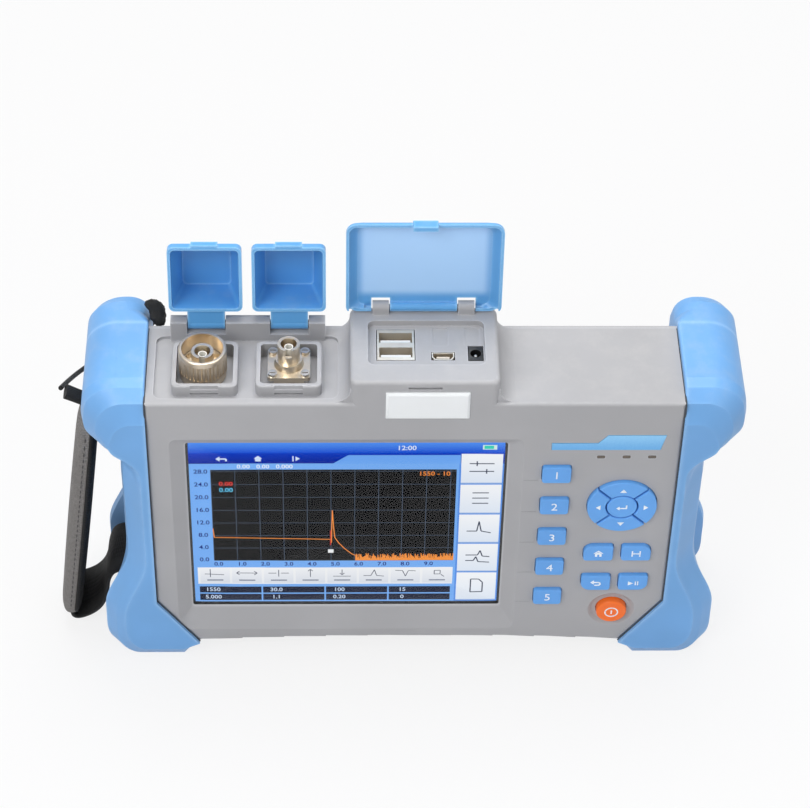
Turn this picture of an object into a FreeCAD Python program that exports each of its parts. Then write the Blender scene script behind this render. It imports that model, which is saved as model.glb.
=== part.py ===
import FreeCAD, Part
import math
import os

# Handheld optical time domain reflectometer, all sizes in millimetres.
#
# X runs to the right of the person who reads the screen, Y runs away from them
# and Z runs up.  The tester stands on its rubber bumpers: the bench is z = 0,
# x = 0 is the middle of the case and y = 0 is the plane where the front shell
# meets the rear shell.

V = FreeCAD.Vector
os.makedirs("parts", exist_ok=True)

# ---------------------------------------------------------------- case shells
CASE_WIDTH = 193.4
CASE_HEIGHT = 126.3
CASE_LIFT = 10.5            # underside of the case above the bench
FRONT_DEPTH = 40.0
REAR_DEPTH = 18.0
WALL = 2.5
EDGE_ROUND = 1.2
CORNER_RISE = 21.0          # where the lower corners start to slope in
TOE_IN = 15.7               # how far in the slope ends
TOE_DROP = 2.3              # the ends of the slope hang below the arched underside
BACK_SLOPE = 17.0           # the rear shell falls away at 45 degrees at its top

# ------------------------------------------------------------------- bumpers
BUMPER_PROUD = 1.5          # rubber in front of the case face
BUMPER_TAIL = 0.8           # rubber behind the rear shell
BUMPER_OVER = 2.9           # rubber above the case top
UPPER_REACH = 23.5          # upper lobe, out from the case side
WAIST_REACH = 10.9
LOWER_REACH = 21.2
SHOULDER_ROUND = 13.0
FRONT_ROUND = 12.0
FRONT_INSET = 8.0           # width lost to the chamfer round the front
BACK_INSET = 4.5
SOLE_ROUND = 6.0
SOLE_INSET = 6.4            # inner end of the flat sole, from the toe
STRAP_WAIST = 0.12          # share of the lower lobe left where the strap passes
UPPER_RISE = CASE_HEIGHT - 35.3     # foot of the upper lobe, above the case underside
LOWER_RISE = 12.0           # widest part of the lower lobe
GRIP_BLEND_TOP = 18.0
GRIP_BLEND_LOW = 33.0
FOOT_ROUND = 11.0
BACK_ROUND = 8.0

# ------------------------------------------------------------------- display
SCREEN_SIDE = 14.6          # lit area in from the left side of the case
SCREEN_RISE = 16.1          # lit area above the case underside
SCREEN_HEAD = 23.8          # face kept above the lit area
KEYPAD_STRIP = 63.6         # face kept for the keys, right of the lit area
SCREEN_LEFT = SCREEN_SIDE - CASE_WIDTH / 2
SCREEN_WIDTH = CASE_WIDTH - SCREEN_SIDE - KEYPAD_STRIP
SCREEN_HEIGHT = CASE_HEIGHT - SCREEN_RISE - SCREEN_HEAD
SCREEN_SINK = 3.5
SCREEN_LIP = 1.0            # case opening beyond the lit area
BEZEL_SIDE = 5.6            # slope beside the screen
BEZEL_TOP = 5.2
BEZEL_FOOT = 10.4
LENS_THICK = 1.1
LENS_MARGIN = 2.0
LCD_THICK = 6.0
LCD_MARGIN = 4.0

# ---------------------------------------------------------------------- keys
KEY_PROUD = 1.7
KEY_GAP = 0.25
KEY_TRAVEL = 1.2
KEY_HEIGHT = 8.0
KEY_ROUND = 1.2
KEY_BACK = 0.5              # key rear face behind the case wall
SOFT_KEY_WIDTH = 10.6
SOFT_KEY_X = CASE_WIDTH / 2 - 44.6
SOFT_KEY_DROP = 11.2        # first key below the top of the lit area
SOFT_KEY_FOOT = 8.32        # last key above its bottom
SOFT_KEY_COUNT = 5
SOFT_KEY_TOP = SCREEN_RISE + SCREEN_HEIGHT - SOFT_KEY_DROP
SOFT_KEY_PITCH = (SCREEN_HEIGHT - SOFT_KEY_DROP - SOFT_KEY_FOOT) / (SOFT_KEY_COUNT - 1)
NAV_X = CASE_WIDTH / 2 - 19.55
PAD_RISE = 0.5891 * CASE_HEIGHT
PAD_RADIUS = 12.9
PAD_SLIT = 0.8
ENTER_RADIUS = 5.6
ENTER_GAP = 0.5
PAIR_INNER = 1.55           # pair keys, from the keypad centre line
PAIR_WIDTH = 11.1
PAIR_ROUND = 3.6
HOME_RISE = 0.3888 * CASE_HEIGHT
ESCAPE_RISE = 0.2573 * CASE_HEIGHT
POWER_RISE = 0.1259 * CASE_HEIGHT
POWER_RADIUS = 5.8
POWER_DISH = 9.0
POWER_DISH_DEPTH = 0.9
LAMP_RISE = CASE_HEIGHT - 26.8
LAMP_PITCH = 9.3
LAMP_WIDTH = 3.0
LAMP_HEIGHT = 1.6
MAT_THICK = 1.2
KEYPAD_SIDE = 2.2           # keypad board from the display's bracket
KEYPAD_CLEAR = 0.8          # keypad board and mat from the case wall
KEYPAD_FOOT = 6.5           # keypad board from the floor of the case
KEYPAD_ROUND = 1.5
MAT_INSET = 0.3             # mat inside the outline of its board
MAT_RIM = 0.8
BOARD = 1.6                 # every circuit board

# ----------------------------------------------------- stripe and name plate
STRIPE_LEFT = CASE_WIDTH / 2 - 47.2
STRIPE_STEP = CASE_WIDTH / 2 - 30.3
STRIPE_RIGHT = CASE_WIDTH / 2 - 5.7
STRIPE_RAMP = 3.4
STRIPE_RISE = CASE_HEIGHT - 23.1
STRIPE_THIN = 3.6
STRIPE_TALL = 7.6
STRIPE_THICK = 0.5
STRIPE_SINK = 0.3
PLATE_WIDTH = 30.3
PLATE_HEIGHT = 13.0
PLATE_RISE = CASE_HEIGHT - 6.7
PLATE_THICK = 1.6
PLATE_SINK = 0.5
PLATE_GAP = 0.1

# ---------------------------------------------------------- data port block
DECK_LEFT = 3.1 - CASE_WIDTH / 2
DECK_WIDTH = 66.0           # sunken deck of the optical ports
DECK_RIGHT = DECK_LEFT + DECK_WIDTH
BLOCK_WIDTH = 53.4
BLOCK_OFF = 4.2             # block from the deck
BLOCK_X = DECK_RIGHT + BLOCK_OFF + BLOCK_WIDTH / 2
PLATE_X = BLOCK_X + 1.0
BLOCK_HEIGHT = 10.7
BLOCK_ROUND = 3.0
BLOCK_TOP_ROUND = 1.5
BLOCK_FLARE = 6.0
DISH_WIDTH = 41.9
DISH_FRONT = 9.5            # from the case face
DISH_BACK = 32.4
DISH_SINK = 2.5
USB_X = BLOCK_X - 10.25
USB_WIDTH = 13.4
USB_STACK = 15.6
USB_SLOT_WIDTH = 11.9
USB_SLOT = 5.1
USB_SLOT_PITCH = 7.6
USB_TONGUE_WIDTH = 10.8
USB_TONGUE_THICK = 1.8
USB_TONGUE_BACK = 1.0       # tongue behind the middle of its slot
USB_TONGUE_FOOT = 2.0       # foot of the tongue above the board
USB_TONGUE_SINK = 1.2       # tip of the tongue below the dish
USB_DEPTH = 13.0
PORT_ROW = 22.2             # socket centre line, from the case face
MINI_X = BLOCK_X + 6.65
MINI_WIDTH = 8.0
MINI_HEIGHT = 3.7
MINI_ROW = 16.4
MINI_DEPTH = 8.0
MINI_SLOPE_IN = 0.78        # narrow side, as a share of the wide one
MINI_SLOPE_UP = 0.2         # where the slope starts, as a share of the half height
MINI_TONGUE_WIDTH = 4.6
MINI_TONGUE_FRONT = 0.2
MINI_TONGUE_REAR = 0.7
MINI_LEG = 3.0              # half the width of the block on the board
MINI_WEB = 0.5              # floor of the socket
JACK_X = BLOCK_X + 18.4
JACK_WIDTH = 5.0
JACK_LENGTH = 7.3
JACK_ROW = 17.8
JACK_BORE = 2.0
JACK_PIN = 0.65
JACK_DEPTH = 11.0
SHELL = 0.4                 # sheet of the metal sockets
PANEL_GAP = 0.3             # round whatever passes through the case wall

# ---------------------------------------------------------- optical port deck
DECK_FRONT = 3.2
DECK_SINK = 1.2
DECK_THICK = 6.0
PORT_LEFT_X = DECK_LEFT + 18.2
PORT_PITCH = 30.1
PORT_RIGHT_X = PORT_LEFT_X + PORT_PITCH
CURB_SIZE = 23.8
CURB_FRONT = 5.3
CURB_HEIGHT = 5.0
CURB_WALL = 1.7
CURB_ROUND = 2.5
CURB_FLOOR = 1.1            # floor inside the curb, below the deck
HINGE_IN = 2.0              # hinge line in front of the parting plane
HINGE_UP = 4.7              # hinge line above the case top
RAIL_DEPTH = 5.5
RAIL_ROUND = 2.6
PIN_RADIUS = 1.0
PIN_GAP = 0.1

# -------------------------------------------------------------------- covers
COVER_WALL = 1.1
COVER_ROOF = 1.3
COVER_GAP = 0.3             # cover to curb, and cover to data port block
COVER_LIFT = 2.5            # rim above the deck
COVER_REAR_GAP = 0.9
COVER_HEIGHT = 16.3
COVER_TAPER = 3.4           # the side walls lean in this far
COVER_REAR_TAPER = 1.0
COVER_SLANT = 8.5           # the front wall leans back this far
COVER_OPEN = 99.0
COVER_ROUND = 2.2
COVER_EDGE = 0.8            # round of the top edge
SKIRT_OVER = 0.4            # straight part of the skirt above the curb
ARM_HALF = 2.2              # half the thickness of the hinge arm
KNUCKLE_WIDTH = 13.5
KNUCKLE_GAP = 0.3
TAB_WIDTH = 9.6
TAB_PROUD = 0.8
LID_HEIGHT = 4.0            # data cover roof above the block
LID_HANG = 1.0              # its skirt below the block top
LATCH_HANG = 3.4            # its latch below the block top
LATCH_WIDTH = 9.0
LID_TAPER = 2.5
LID_REAR_TAPER = 0.8
LID_DISH = 3.0              # slope inside its edge
LID_OPEN = 94.0
LID_ROUND = 4.0
LID_EDGE = 1.2              # round of its top edge
HOOK_THICK = 0.6
HOOK_RISE = 0.4
LID_AXIS_UP = 2.2
LID_AXIS_IN = 2.3
LID_BEAD = 1.6
LID_PIN = 0.8
EAR_SPREAD = 15.5
EAR_WIDTH = 5.9
EAR_GAP = 0.4
EAR_ROUND = 2.2

# ---------------------------------------------------------- optical adapters
ADAPTER_Y = 18.4            # adapter axes, from the case face
OTDR_X = PORT_LEFT_X - 0.8  # ring axis, a little left of its curb's middle
RING_RADIUS = 8.7
RING_BORE = 7.5
RING_LIFT = 2.8             # ring underside above the curb floor
RING_HEIGHT = 9.8
CORE_HEIGHT = 6.0
CORE_GAP = 0.15             # core from the bore of the ring
CORE_FOOT_IN = 0.4          # foot of the core inside the ring's outside
CORE_FOOT_GAP = 0.3         # foot of the core from the ring's lower face
POCKET_RADIUS = 1.3
POCKET_CIRCLE = 5.6         # centres of the pockets from the axis
POCKET_DEPTH = 2.0
HUB_SEAT = 0.5              # hub's wall that the disc holds
HUB_HEIGHT = 11.3
RING_GROOVES = 36
GROOVE = 0.35
FERRULE_BORE = 1.25
SLEEVE_RADIUS = 1.6
SLEEVE_LENGTH = 9.5
SLEEVE_SEAT = 2.0            # depth of the pocket that holds the sleeve's foot
BARREL_RADIUS = 4.0
STEM_RADIUS = 5.0
BARREL_BORE = 2.9
BARREL_LENGTH = 9.8
KEY_SLOT = 2.2
KEY_SLOT_DEPTH = 3.5
FLANGE_SIZE = 15.3
FLANGE_THICK = 1.5
FLANGE_LIFT = 3.5           # flange underside above the curb floor
FLANGE_HOLES = 11.6
SCREW_RADIUS = 0.9
SCREW_HEAD = 1.6
SCREW_HEAD_HIGH = 1.1
SCREW_SLOT_REACH = 1.1      # half the length of its slot
SCREW_SLOT_WIDTH = 0.5
SCREW_SLOT_DEPTH = 0.5
COLLAR_RADIUS = 5.4
COLLAR_HEIGHT = 2.6

# ------------------------------------------------------------------ internals
BOSS_RADIUS = 2.7
BOSS_BORE = 1.0
BOSS_TOP_X = CASE_WIDTH / 2 - 8.7
BOSS_TOP_RISE = CASE_HEIGHT - 12.8
BOSS_LOW_RISE = 5.2
BOSS_LOW_LEFT = 26.7 - CASE_WIDTH / 2
BOSS_LOW_RIGHT = CASE_WIDTH / 2 - 41.7
CASE_SCREW_HEAD = 2.2
CASE_SCREW_SEAT = 5.0
CASE_SCREW_RISE = 2.0       # height of its head
CASE_SCREW_REACH = 12.0     # its tip behind the case face wall
CROSS_REACH = 1.4
CROSS_DEPTH = 0.8
SCREW_GAP = 0.2
BRACKET_THICK = 1.0
STANDOFF = 4.0
STANDOFF_RADIUS = 2.0
MAIN_BOARD_TOP = CASE_HEIGHT - 18.3
MAIN_BOARD_SIDE = 2.0       # clear of the case wall
MAIN_BOARD_RISE = 7.0
BOARD_ROUND = 3.0
BOSS_CLEAR = 0.5
CHIPS = (                   # left edge, width, rise on the board, height, thickness
    (0.0, 22.0, 12.0, 22.0, 2.2),
    (32.0, 14.0, 12.0, 12.0, 1.6),
    (60.0, 15.0, 12.0, 20.0, 4.5),
)
OPTICS_DEPTH = 14.0
OPTICS_LEFT = 8.7 - CASE_WIDTH / 2
OPTICS_WIDTH = 56.0
OPTICS_HEIGHT = 44.0
OPTICS_DROP = 8.0           # its top below the top of the main board
OPTICS_ROUND = 1.5
FEED_WIDTH = 6.0            # tubes that lead the fibres up to the adapters
FEED_CLEAR = 0.4            # their elbows above the main board
SPOOL_RADIUS = 23.0
SPOOL_BORE = 15.0
SPOOL_DEPTH = 7.0
SPOOL_OFF = 11.0            # spool from the optical module
SPOOL_DROP = 4.0
SPOOL_FLANGE = 1.0
SPOOL_WIND = 2.0            # depth of the winding
BATTERY_WIDTH = CASE_WIDTH - 85.4
BATTERY_HEIGHT = CASE_HEIGHT - 73.3
BATTERY_THICK = 13.0
BATTERY_RISE = 14.0
BATTERY_GAP = 0.3
WELL_WALL = 1.8
DOOR_THICK = 2.2
DOOR_LAP = 5.0
DOOR_GAP = 0.3
DOOR_ROUND = 2.2
DOOR_GROOVES = 7
DOOR_GROOVE_WIDTH = 68.0
DOOR_GROOVE = 1.0           # half the height of a groove
DOOR_GROOVE_DEPTH = 0.8
DOOR_SCREW_HEAD = 1.8
DOOR_SCREW_SEAT = 1.2
DOOR_SCREW_REACH = 4.5
SCREW_SLOT = 0.3            # half the width of a screw's slot

# ---------------------------------------------------------------- tilt stand
STAND_WIDTH = 74.0
STAND_LENGTH = 27.0
STAND_THICK = 3.0
STAND_TOP_RISE = CASE_HEIGHT - 21.3
STAND_PIN = 1.2
STAND_GAP = 0.4
STAND_LUG = 6.0
STAND_ROUND = 1.2
STAND_RIB = 1.6             # width of a rib
STAND_RIB_STEP = 12.0       # from rib to rib
STAND_PANEL_IN = 2.0        # sunk panel inside the lugs
STAND_PANEL_SINK = 1.2
STAND_PANEL_LOW = 6.0       # sunk panel above the foot of the flap
STAND_PANEL_TOP = 5.0       # sunk panel below the pin
FINGER_NOTCH = 4.0

# --------------------------------------------------------------------- strap
PAD_THICK = 8.6
PAD_WIDTH = 29.0
PAD_FRONT = 13.0            # from the case face
PAD_TOP_OUT = CASE_WIDTH / 2 + 22.5     # middle of the pad, from the case centre
PAD_LOW_OUT = CASE_WIDTH / 2 + 34.7
PAD_TOP_Z = CASE_LIFT + CASE_HEIGHT - 27.8
PAD_LOW_Z = 8.0
WEBBING = 1.8
WEBBING_WIDTH = 25.0
STRAP_SLOT_Z = 33.0
STRAP_SLOT_DEPTH = 5.0
STRAP_GAP = 0.3
WEBBING_DIP = 4.4           # lowest turn of the webbing below the pad
WEBBING_RISE = (            # out from the slot, above the foot of the pad
    (15.0, -0.6),
    (10.0, 7.0),
)
WEBBING_TURN = (            # out from the slot, below it
    (8.6, 5.0),
    (4.5, 0.0),
)
LOOP_WIDTH = 6.5
LOOP_THICK = 2.6
LOOP_ROUTE = (              # left of the head of the pad, above it
    (0.0, 0.3),
    (0.6, 3.2),
    (8.2, 7.4),
)
KEEPER_LENGTH = 7.0
KEEPER_OUTLINE = (          # in from the side of the case, over the slope
    (-0.3, 0.05), (-5.4, 0.05), (-5.9, 4.5), (-5.2, 7.6), (-3.0, 9.6), (-0.2, 9.8),
    (1.6, 8.6), (1.6, 7.2), (-0.3, 5.6),
)
KEEPER_GROOVE = 0.8         # fold across the keeper
KEEPER_GROOVE_LOW = 6.6     # floor of the fold over the slope
CORD_RADIUS = 0.9
CORD_CLEAR = 1.3            # clear of the back of the rubber
CORD_GAP = 0.1              # end of the cord to its keeper
CORD_OVER = 3.5             # its middle over the slope of the shoulder
CORD_RUN = 10.0             # straight stretch before the keeper
CORD_IN = 2.4               # its end in from the side of the case
CORD_ROUTE = (              # right of the loop's tip, share of the way back, above the tip
    (-2.0, 0.036, 0.7),
    (-0.6, 0.269, -3.8),
    (2.6, 0.537, -7.8),
    (6.6, 0.806, -11.8),
    (14.5, 1.015, -12.8),
    (23.5, 1.015, -7.3),
    (32.6, 1.066, 4.7),
)

# ------------------------------------------------------------ derived places
HALF = CASE_WIDTH / 2
Z_LOW = CASE_LIFT
Z_TOP = CASE_LIFT + CASE_HEIGHT
Y_FACE = -FRONT_DEPTH
Y_INNER = Y_FACE + WALL
Y_BACK = REAR_DEPTH
SCREEN_LOW = Z_LOW + SCREEN_RISE
BLOCK_LEFT = BLOCK_X - BLOCK_WIDTH / 2
BLOCK_RIGHT = BLOCK_X + BLOCK_WIDTH / 2
Z_BLOCK = Z_TOP + BLOCK_HEIGHT
Z_DISH = Z_BLOCK - DISH_SINK
Z_DECK = Z_TOP - DECK_SINK
Z_CURB = Z_DECK + CURB_HEIGHT
Z_CURB_FLOOR = Z_DECK - CURB_FLOOR
CURB_Y = Y_FACE + CURB_FRONT + CURB_SIZE / 2
ADAPTER_AT = Y_FACE + ADAPTER_Y
HINGE_Y = -HINGE_IN
HINGE_Z = Z_TOP + HINGE_UP
LID_AXIS_Y = -LID_AXIS_IN
LID_AXIS_Z = Z_BLOCK + LID_AXIS_UP
Y_MAT = Y_INNER + KEY_BACK + KEY_TRAVEL + 0.1
Y_KEYPAD = Y_MAT + MAT_THICK
Y_LENS = Y_FACE + SCREEN_SINK
Y_LCD = Y_LENS + LENS_THICK
Y_BRACKET = Y_LCD + LCD_THICK
Y_MAIN = Y_BRACKET + BRACKET_THICK + STANDOFF
Y_OPTICS = Y_MAIN + BOARD
Y_DOOR = Y_BACK - DOOR_THICK


# ------------------------------------------------------------ shape helpers
def block(x0, x1, y0, y1, z0, z1):
    """A plain box between two corners."""
    return Part.makeBox(x1 - x0, y1 - y0, z1 - z0, V(x0, y0, z0))


def rod_x(radius, x0, x1, y, z):
    return Part.makeCylinder(radius, x1 - x0, V(x0, y, z), V(1, 0, 0))


def rod_y(radius, y0, y1, x, z):
    return Part.makeCylinder(radius, y1 - y0, V(x, y0, z), V(0, 1, 0))


def rod_z(radius, z0, z1, x, y):
    return Part.makeCylinder(radius, z1 - z0, V(x, y, z0), V(0, 0, 1))


def in_front(u, v, at):
    """A point drawn on a plane that faces the reader."""
    return V(u, at, v)


def on_top(u, v, at):
    """A point drawn on a level plane."""
    return V(u, v, at)


def rounded_wire(u0, u1, v0, v1, radii, place, at):
    """A rectangle whose four corner radii start at u0, v0 and go round by u1, v0."""
    centres = [(u0, v0, 1, 1), (u1, v0, -1, 1), (u1, v1, -1, -1), (u0, v1, 1, -1)]
    edges = []
    last = None
    first = None
    for number, ((u, v, su, sv), radius) in enumerate(zip(centres, radii)):
        cu = u + su * radius
        cv = v + sv * radius
        start = math.pi + number * math.pi / 2
        middle = start + math.pi / 4
        end = start + math.pi / 2
        spots = [
            place(cu + radius * math.cos(a), cv + radius * math.sin(a), at)
            for a in (start, middle, end)
        ]
        if last is None:
            first = spots[0]
        else:
            edges.append(Part.makeLine(last, spots[0]))
        edges.append(Part.Arc(*spots).toShape())
        last = spots[2]
    edges.append(Part.makeLine(last, first))
    return Part.Wire(edges)


def face_plate(x0, x1, z0, z1, radii, y0, y1):
    """A rounded plate parallel to the case face."""
    if not isinstance(radii, tuple):
        radii = (radii,) * 4
    wire = rounded_wire(x0, x1, z0, z1, radii, in_front, y0)
    return Part.Face(wire).extrude(V(0, y1 - y0, 0))


def level_plate(x0, x1, y0, y1, radius, z0, z1):
    """A rounded plate that lies level."""
    wire = rounded_wire(x0, x1, y0, y1, (radius,) * 4, on_top, z0)
    return Part.Face(wire).extrude(V(0, 0, z1 - z0))


def polygon_face(points, place, at):
    spots = [place(u, v, at) for u, v in points]
    return Part.Face(Part.makePolygon(spots + spots[:1]))


def edges_at(shape, axis, value):
    """The edges that lie wholly in one plane across the given axis."""
    near = 1e-4
    found = []
    for edge in shape.Edges:
        low = getattr(edge.BoundBox, axis + "Min")
        high = getattr(edge.BoundBox, axis + "Max")
        if abs(low - value) < near and abs(high - value) < near:
            found.append(edge)
    return found


def joined(shapes):
    """One solid from pieces that overlap."""
    first, rest = shapes[0], shapes[1:]
    return first.fuse(rest).removeSplitter()


def mirror_x(shape):
    return shape.mirror(V(0, 0, 0), V(1, 0, 0))


def save(name, shape):
    """Write one sub-part, as a solid or as a group of solids."""
    solids = shape.Solids
    kept = solids[0] if len(solids) == 1 else Part.makeCompound(solids)
    kept.exportStep("parts/" + name + ".step")
    print(name, len(solids), round(kept.Volume, 1), kept.isValid())


# --------------------------------------------------------------- case shells
def case_outline(inset, y):
    """Front view of the case, drawn in by an even inset."""
    corner = math.atan2(CORNER_RISE + TOE_DROP, TOE_IN)
    shift = inset * math.tan(math.pi / 4 - corner / 2)
    side = HALF - inset
    top = Z_TOP - inset
    bend = Z_LOW + CORNER_RISE + shift
    toe_x = HALF - TOE_IN - inset * math.tan(corner / 2)
    toe_z = Z_LOW - TOE_DROP + inset
    middle = Z_LOW + inset
    right = [V(-side, y, top), V(side, y, top), V(side, y, bend), V(toe_x, y, toe_z)]
    left = [V(-toe_x, y, toe_z), V(-side, y, bend), V(-side, y, top)]
    edges = [Part.makeLine(a, b) for a, b in zip(right, right[1:])]
    edges.append(Part.Arc(right[-1], V(0, y, middle), left[0]).toShape())
    edges += [Part.makeLine(a, b) for a, b in zip(left, left[1:])]
    return Part.Wire(edges)


def case_prism(inset, y0, y1):
    return Part.Face(case_outline(inset, y0)).extrude(V(0, y1 - y0, 0))


def boss_places():
    return [
        (-BOSS_TOP_X, Z_LOW + BOSS_TOP_RISE),
        (BOSS_TOP_X, Z_LOW + BOSS_TOP_RISE),
        (BOSS_LOW_LEFT, Z_LOW + BOSS_LOW_RISE),
        (BOSS_LOW_RIGHT, Z_LOW + BOSS_LOW_RISE),
    ]


def screen_rect(margin):
    """Left, right, bottom and top of the lit area, grown by a margin."""
    return (
        SCREEN_LEFT - margin,
        SCREEN_LEFT + SCREEN_WIDTH + margin,
        SCREEN_LOW - margin,
        SCREEN_LOW + SCREEN_HEIGHT + margin,
    )


def soft_key_places():
    return [
        (SOFT_KEY_X, Z_LOW + SOFT_KEY_TOP - number * SOFT_KEY_PITCH)
        for number in range(SOFT_KEY_COUNT)
    ]


def soft_key(x, z, grow, y0, y1):
    half_w = SOFT_KEY_WIDTH / 2 + grow
    half_h = KEY_HEIGHT / 2 + grow
    return face_plate(x - half_w, x + half_w, z - half_h, z + half_h, KEY_ROUND + grow, y0, y1)


def pair_key(side, rise, lower_round, grow, y0, y1):
    """One of two keys beside the keypad centre line, rounded at its outer end."""
    x_in = NAV_X + side * (PAIR_INNER - grow)
    x_out = NAV_X + side * (PAIR_INNER + PAIR_WIDTH + grow)
    z = Z_LOW + rise
    small = KEY_ROUND + grow
    large = PAIR_ROUND + grow
    low_out = large if lower_round else small
    high_out = small if lower_round else large
    radii = (small, low_out, high_out, small) if side > 0 else (low_out, small, small, high_out)
    half_h = KEY_HEIGHT / 2 + grow
    return face_plate(min(x_in, x_out), max(x_in, x_out), z - half_h, z + half_h, radii, y0, y1)


def stripe_profile(grow, y0, y1):
    """A thin line that steps up into a taller bar with a slanted end."""
    low = Z_LOW + STRIPE_RISE - grow
    thin = Z_LOW + STRIPE_RISE + STRIPE_THIN + grow
    tall = Z_LOW + STRIPE_RISE + STRIPE_TALL + grow
    points = [
        (STRIPE_LEFT - grow, low),
        (STRIPE_RIGHT - STRIPE_RAMP / 2 + grow, low),
        (STRIPE_RIGHT + grow, tall),
        (STRIPE_STEP + STRIPE_RAMP, tall),
        (STRIPE_STEP, thin),
        (STRIPE_LEFT - grow, thin),
    ]
    return polygon_face(points, in_front, y0).extrude(V(0, y1 - y0, 0))


def lamp_slots(grow, y0, y1):
    z = Z_LOW + LAMP_RISE
    half_w = LAMP_WIDTH / 2 + grow
    half_h = LAMP_HEIGHT / 2 + grow
    return [
        face_plate(x - half_w, x + half_w, z - half_h, z + half_h, half_h * 0.6, y0, y1)
        for x in (NAV_X - LAMP_PITCH, NAV_X, NAV_X + LAMP_PITCH)
    ]


def plate_rect():
    z = Z_LOW + PLATE_RISE
    return PLATE_X - PLATE_WIDTH / 2, PLATE_X + PLATE_WIDTH / 2, z, z + PLATE_HEIGHT


def flare(side):
    """Hollow-rounded foot where the data port block grows out of the case top."""
    edge = BLOCK_X + side * BLOCK_WIDTH / 2
    reach = BLOCK_FLARE
    sink = WALL
    out = edge + side * reach
    back = edge - side * reach
    half = reach * (1 - math.sqrt(0.5))
    spots = [
        V(back, Y_FACE + EDGE_ROUND, Z_TOP - sink),
        V(out, Y_FACE + EDGE_ROUND, Z_TOP - sink),
        V(out, Y_FACE + EDGE_ROUND, Z_TOP),
        V(edge + side * half, Y_FACE + EDGE_ROUND, Z_TOP + half),
        V(edge, Y_FACE + EDGE_ROUND, Z_TOP + reach),
        V(back, Y_FACE + EDGE_ROUND, Z_TOP + reach),
    ]
    edges = [
        Part.makeLine(spots[0], spots[1]),
        Part.makeLine(spots[1], spots[2]),
        Part.Arc(spots[2], spots[3], spots[4]).toShape(),
        Part.makeLine(spots[4], spots[5]),
        Part.makeLine(spots[5], spots[0]),
    ]
    return Part.Face(Part.Wire(edges)).extrude(V(0, FRONT_DEPTH - EDGE_ROUND, 0))


def data_block():
    """The raised block that carries the data ports, with soft top edges."""
    body = level_plate(
        BLOCK_LEFT, BLOCK_RIGHT, Y_FACE, 0, BLOCK_ROUND, Z_TOP - BLOCK_ROUND * 4, Z_BLOCK
    )
    return body.makeFillet(BLOCK_TOP_ROUND, edges_at(body, "Z", Z_BLOCK))


def hinge_rail():
    """The rail behind the two optical ports, round at the back, in three lengths."""
    profile = [
        block(0, 1, -RAIL_DEPTH, HINGE_Y, Z_DECK - 1, HINGE_Z + RAIL_ROUND),
        block(0, 1, -RAIL_DEPTH, 0, Z_DECK - 1, HINGE_Z - PIN_RADIUS),
        rod_x(RAIL_ROUND, 0, 1, HINGE_Y, HINGE_Z).common(
            block(0, 1, -RAIL_DEPTH, 0, HINGE_Z - RAIL_ROUND, HINGE_Z + RAIL_ROUND)
        ),
    ]
    unit = joined(profile)
    face = [f for f in unit.Faces if abs(f.BoundBox.XMax) < 1e-6][0]
    left = PORT_LEFT_X - CURB_SIZE / 2 - COVER_WALL
    right = PORT_RIGHT_X + CURB_SIZE / 2 + COVER_WALL
    rail = face.extrude(V(right - left, 0, 0))
    rail.translate(V(left, 0, 0))
    gap = KNUCKLE_WIDTH / 2 + KNUCKLE_GAP
    floor = HINGE_Z - RAIL_ROUND - KNUCKLE_GAP
    for x in (PORT_LEFT_X, PORT_RIGHT_X):
        rail = rail.cut(block(x - gap, x + gap, -RAIL_DEPTH - 1, 1, floor, HINGE_Z + 9))
        reach = gap + (KNUCKLE_WIDTH / 4)
        rail = rail.cut(rod_x(PIN_RADIUS, x - reach, x + reach, HINGE_Y, HINGE_Z))
    return rail


def curb(x):
    """The raised square round one optical port, notched in front for the cover tab."""
    half = CURB_SIZE / 2
    outer = level_plate(
        x - half, x + half, CURB_Y - half, CURB_Y + half, CURB_ROUND, Z_DECK - 1, Z_CURB
    )
    outer = outer.makeFillet(0.6, edges_at(outer, "Z", Z_CURB))
    tab = TAB_WIDTH / 2 + COVER_GAP
    front = CURB_Y - half
    notch = block(x - tab, x + tab, front - 1, front + 0.5, Z_CURB - 1.6, Z_CURB + 1)
    slot = block(x - tab, x + tab, front - 1, front + 1.0, Z_DECK + 0.9, Z_DECK + 1.9)
    return outer.cut(notch).cut(slot)


def ear_centres():
    return (BLOCK_X - EAR_SPREAD, BLOCK_X + EAR_SPREAD)


def lid_ear(x):
    """One of the two lugs that carry the data cover pin."""
    half = EAR_WIDTH / 2
    foot = block(
        x - half, x + half, LID_AXIS_Y - EAR_ROUND, 0, Z_BLOCK - BLOCK_TOP_ROUND * 2, LID_AXIS_Z
    )
    return foot.fuse(rod_x(EAR_ROUND, x - half, x + half, LID_AXIS_Y, LID_AXIS_Z))


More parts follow.
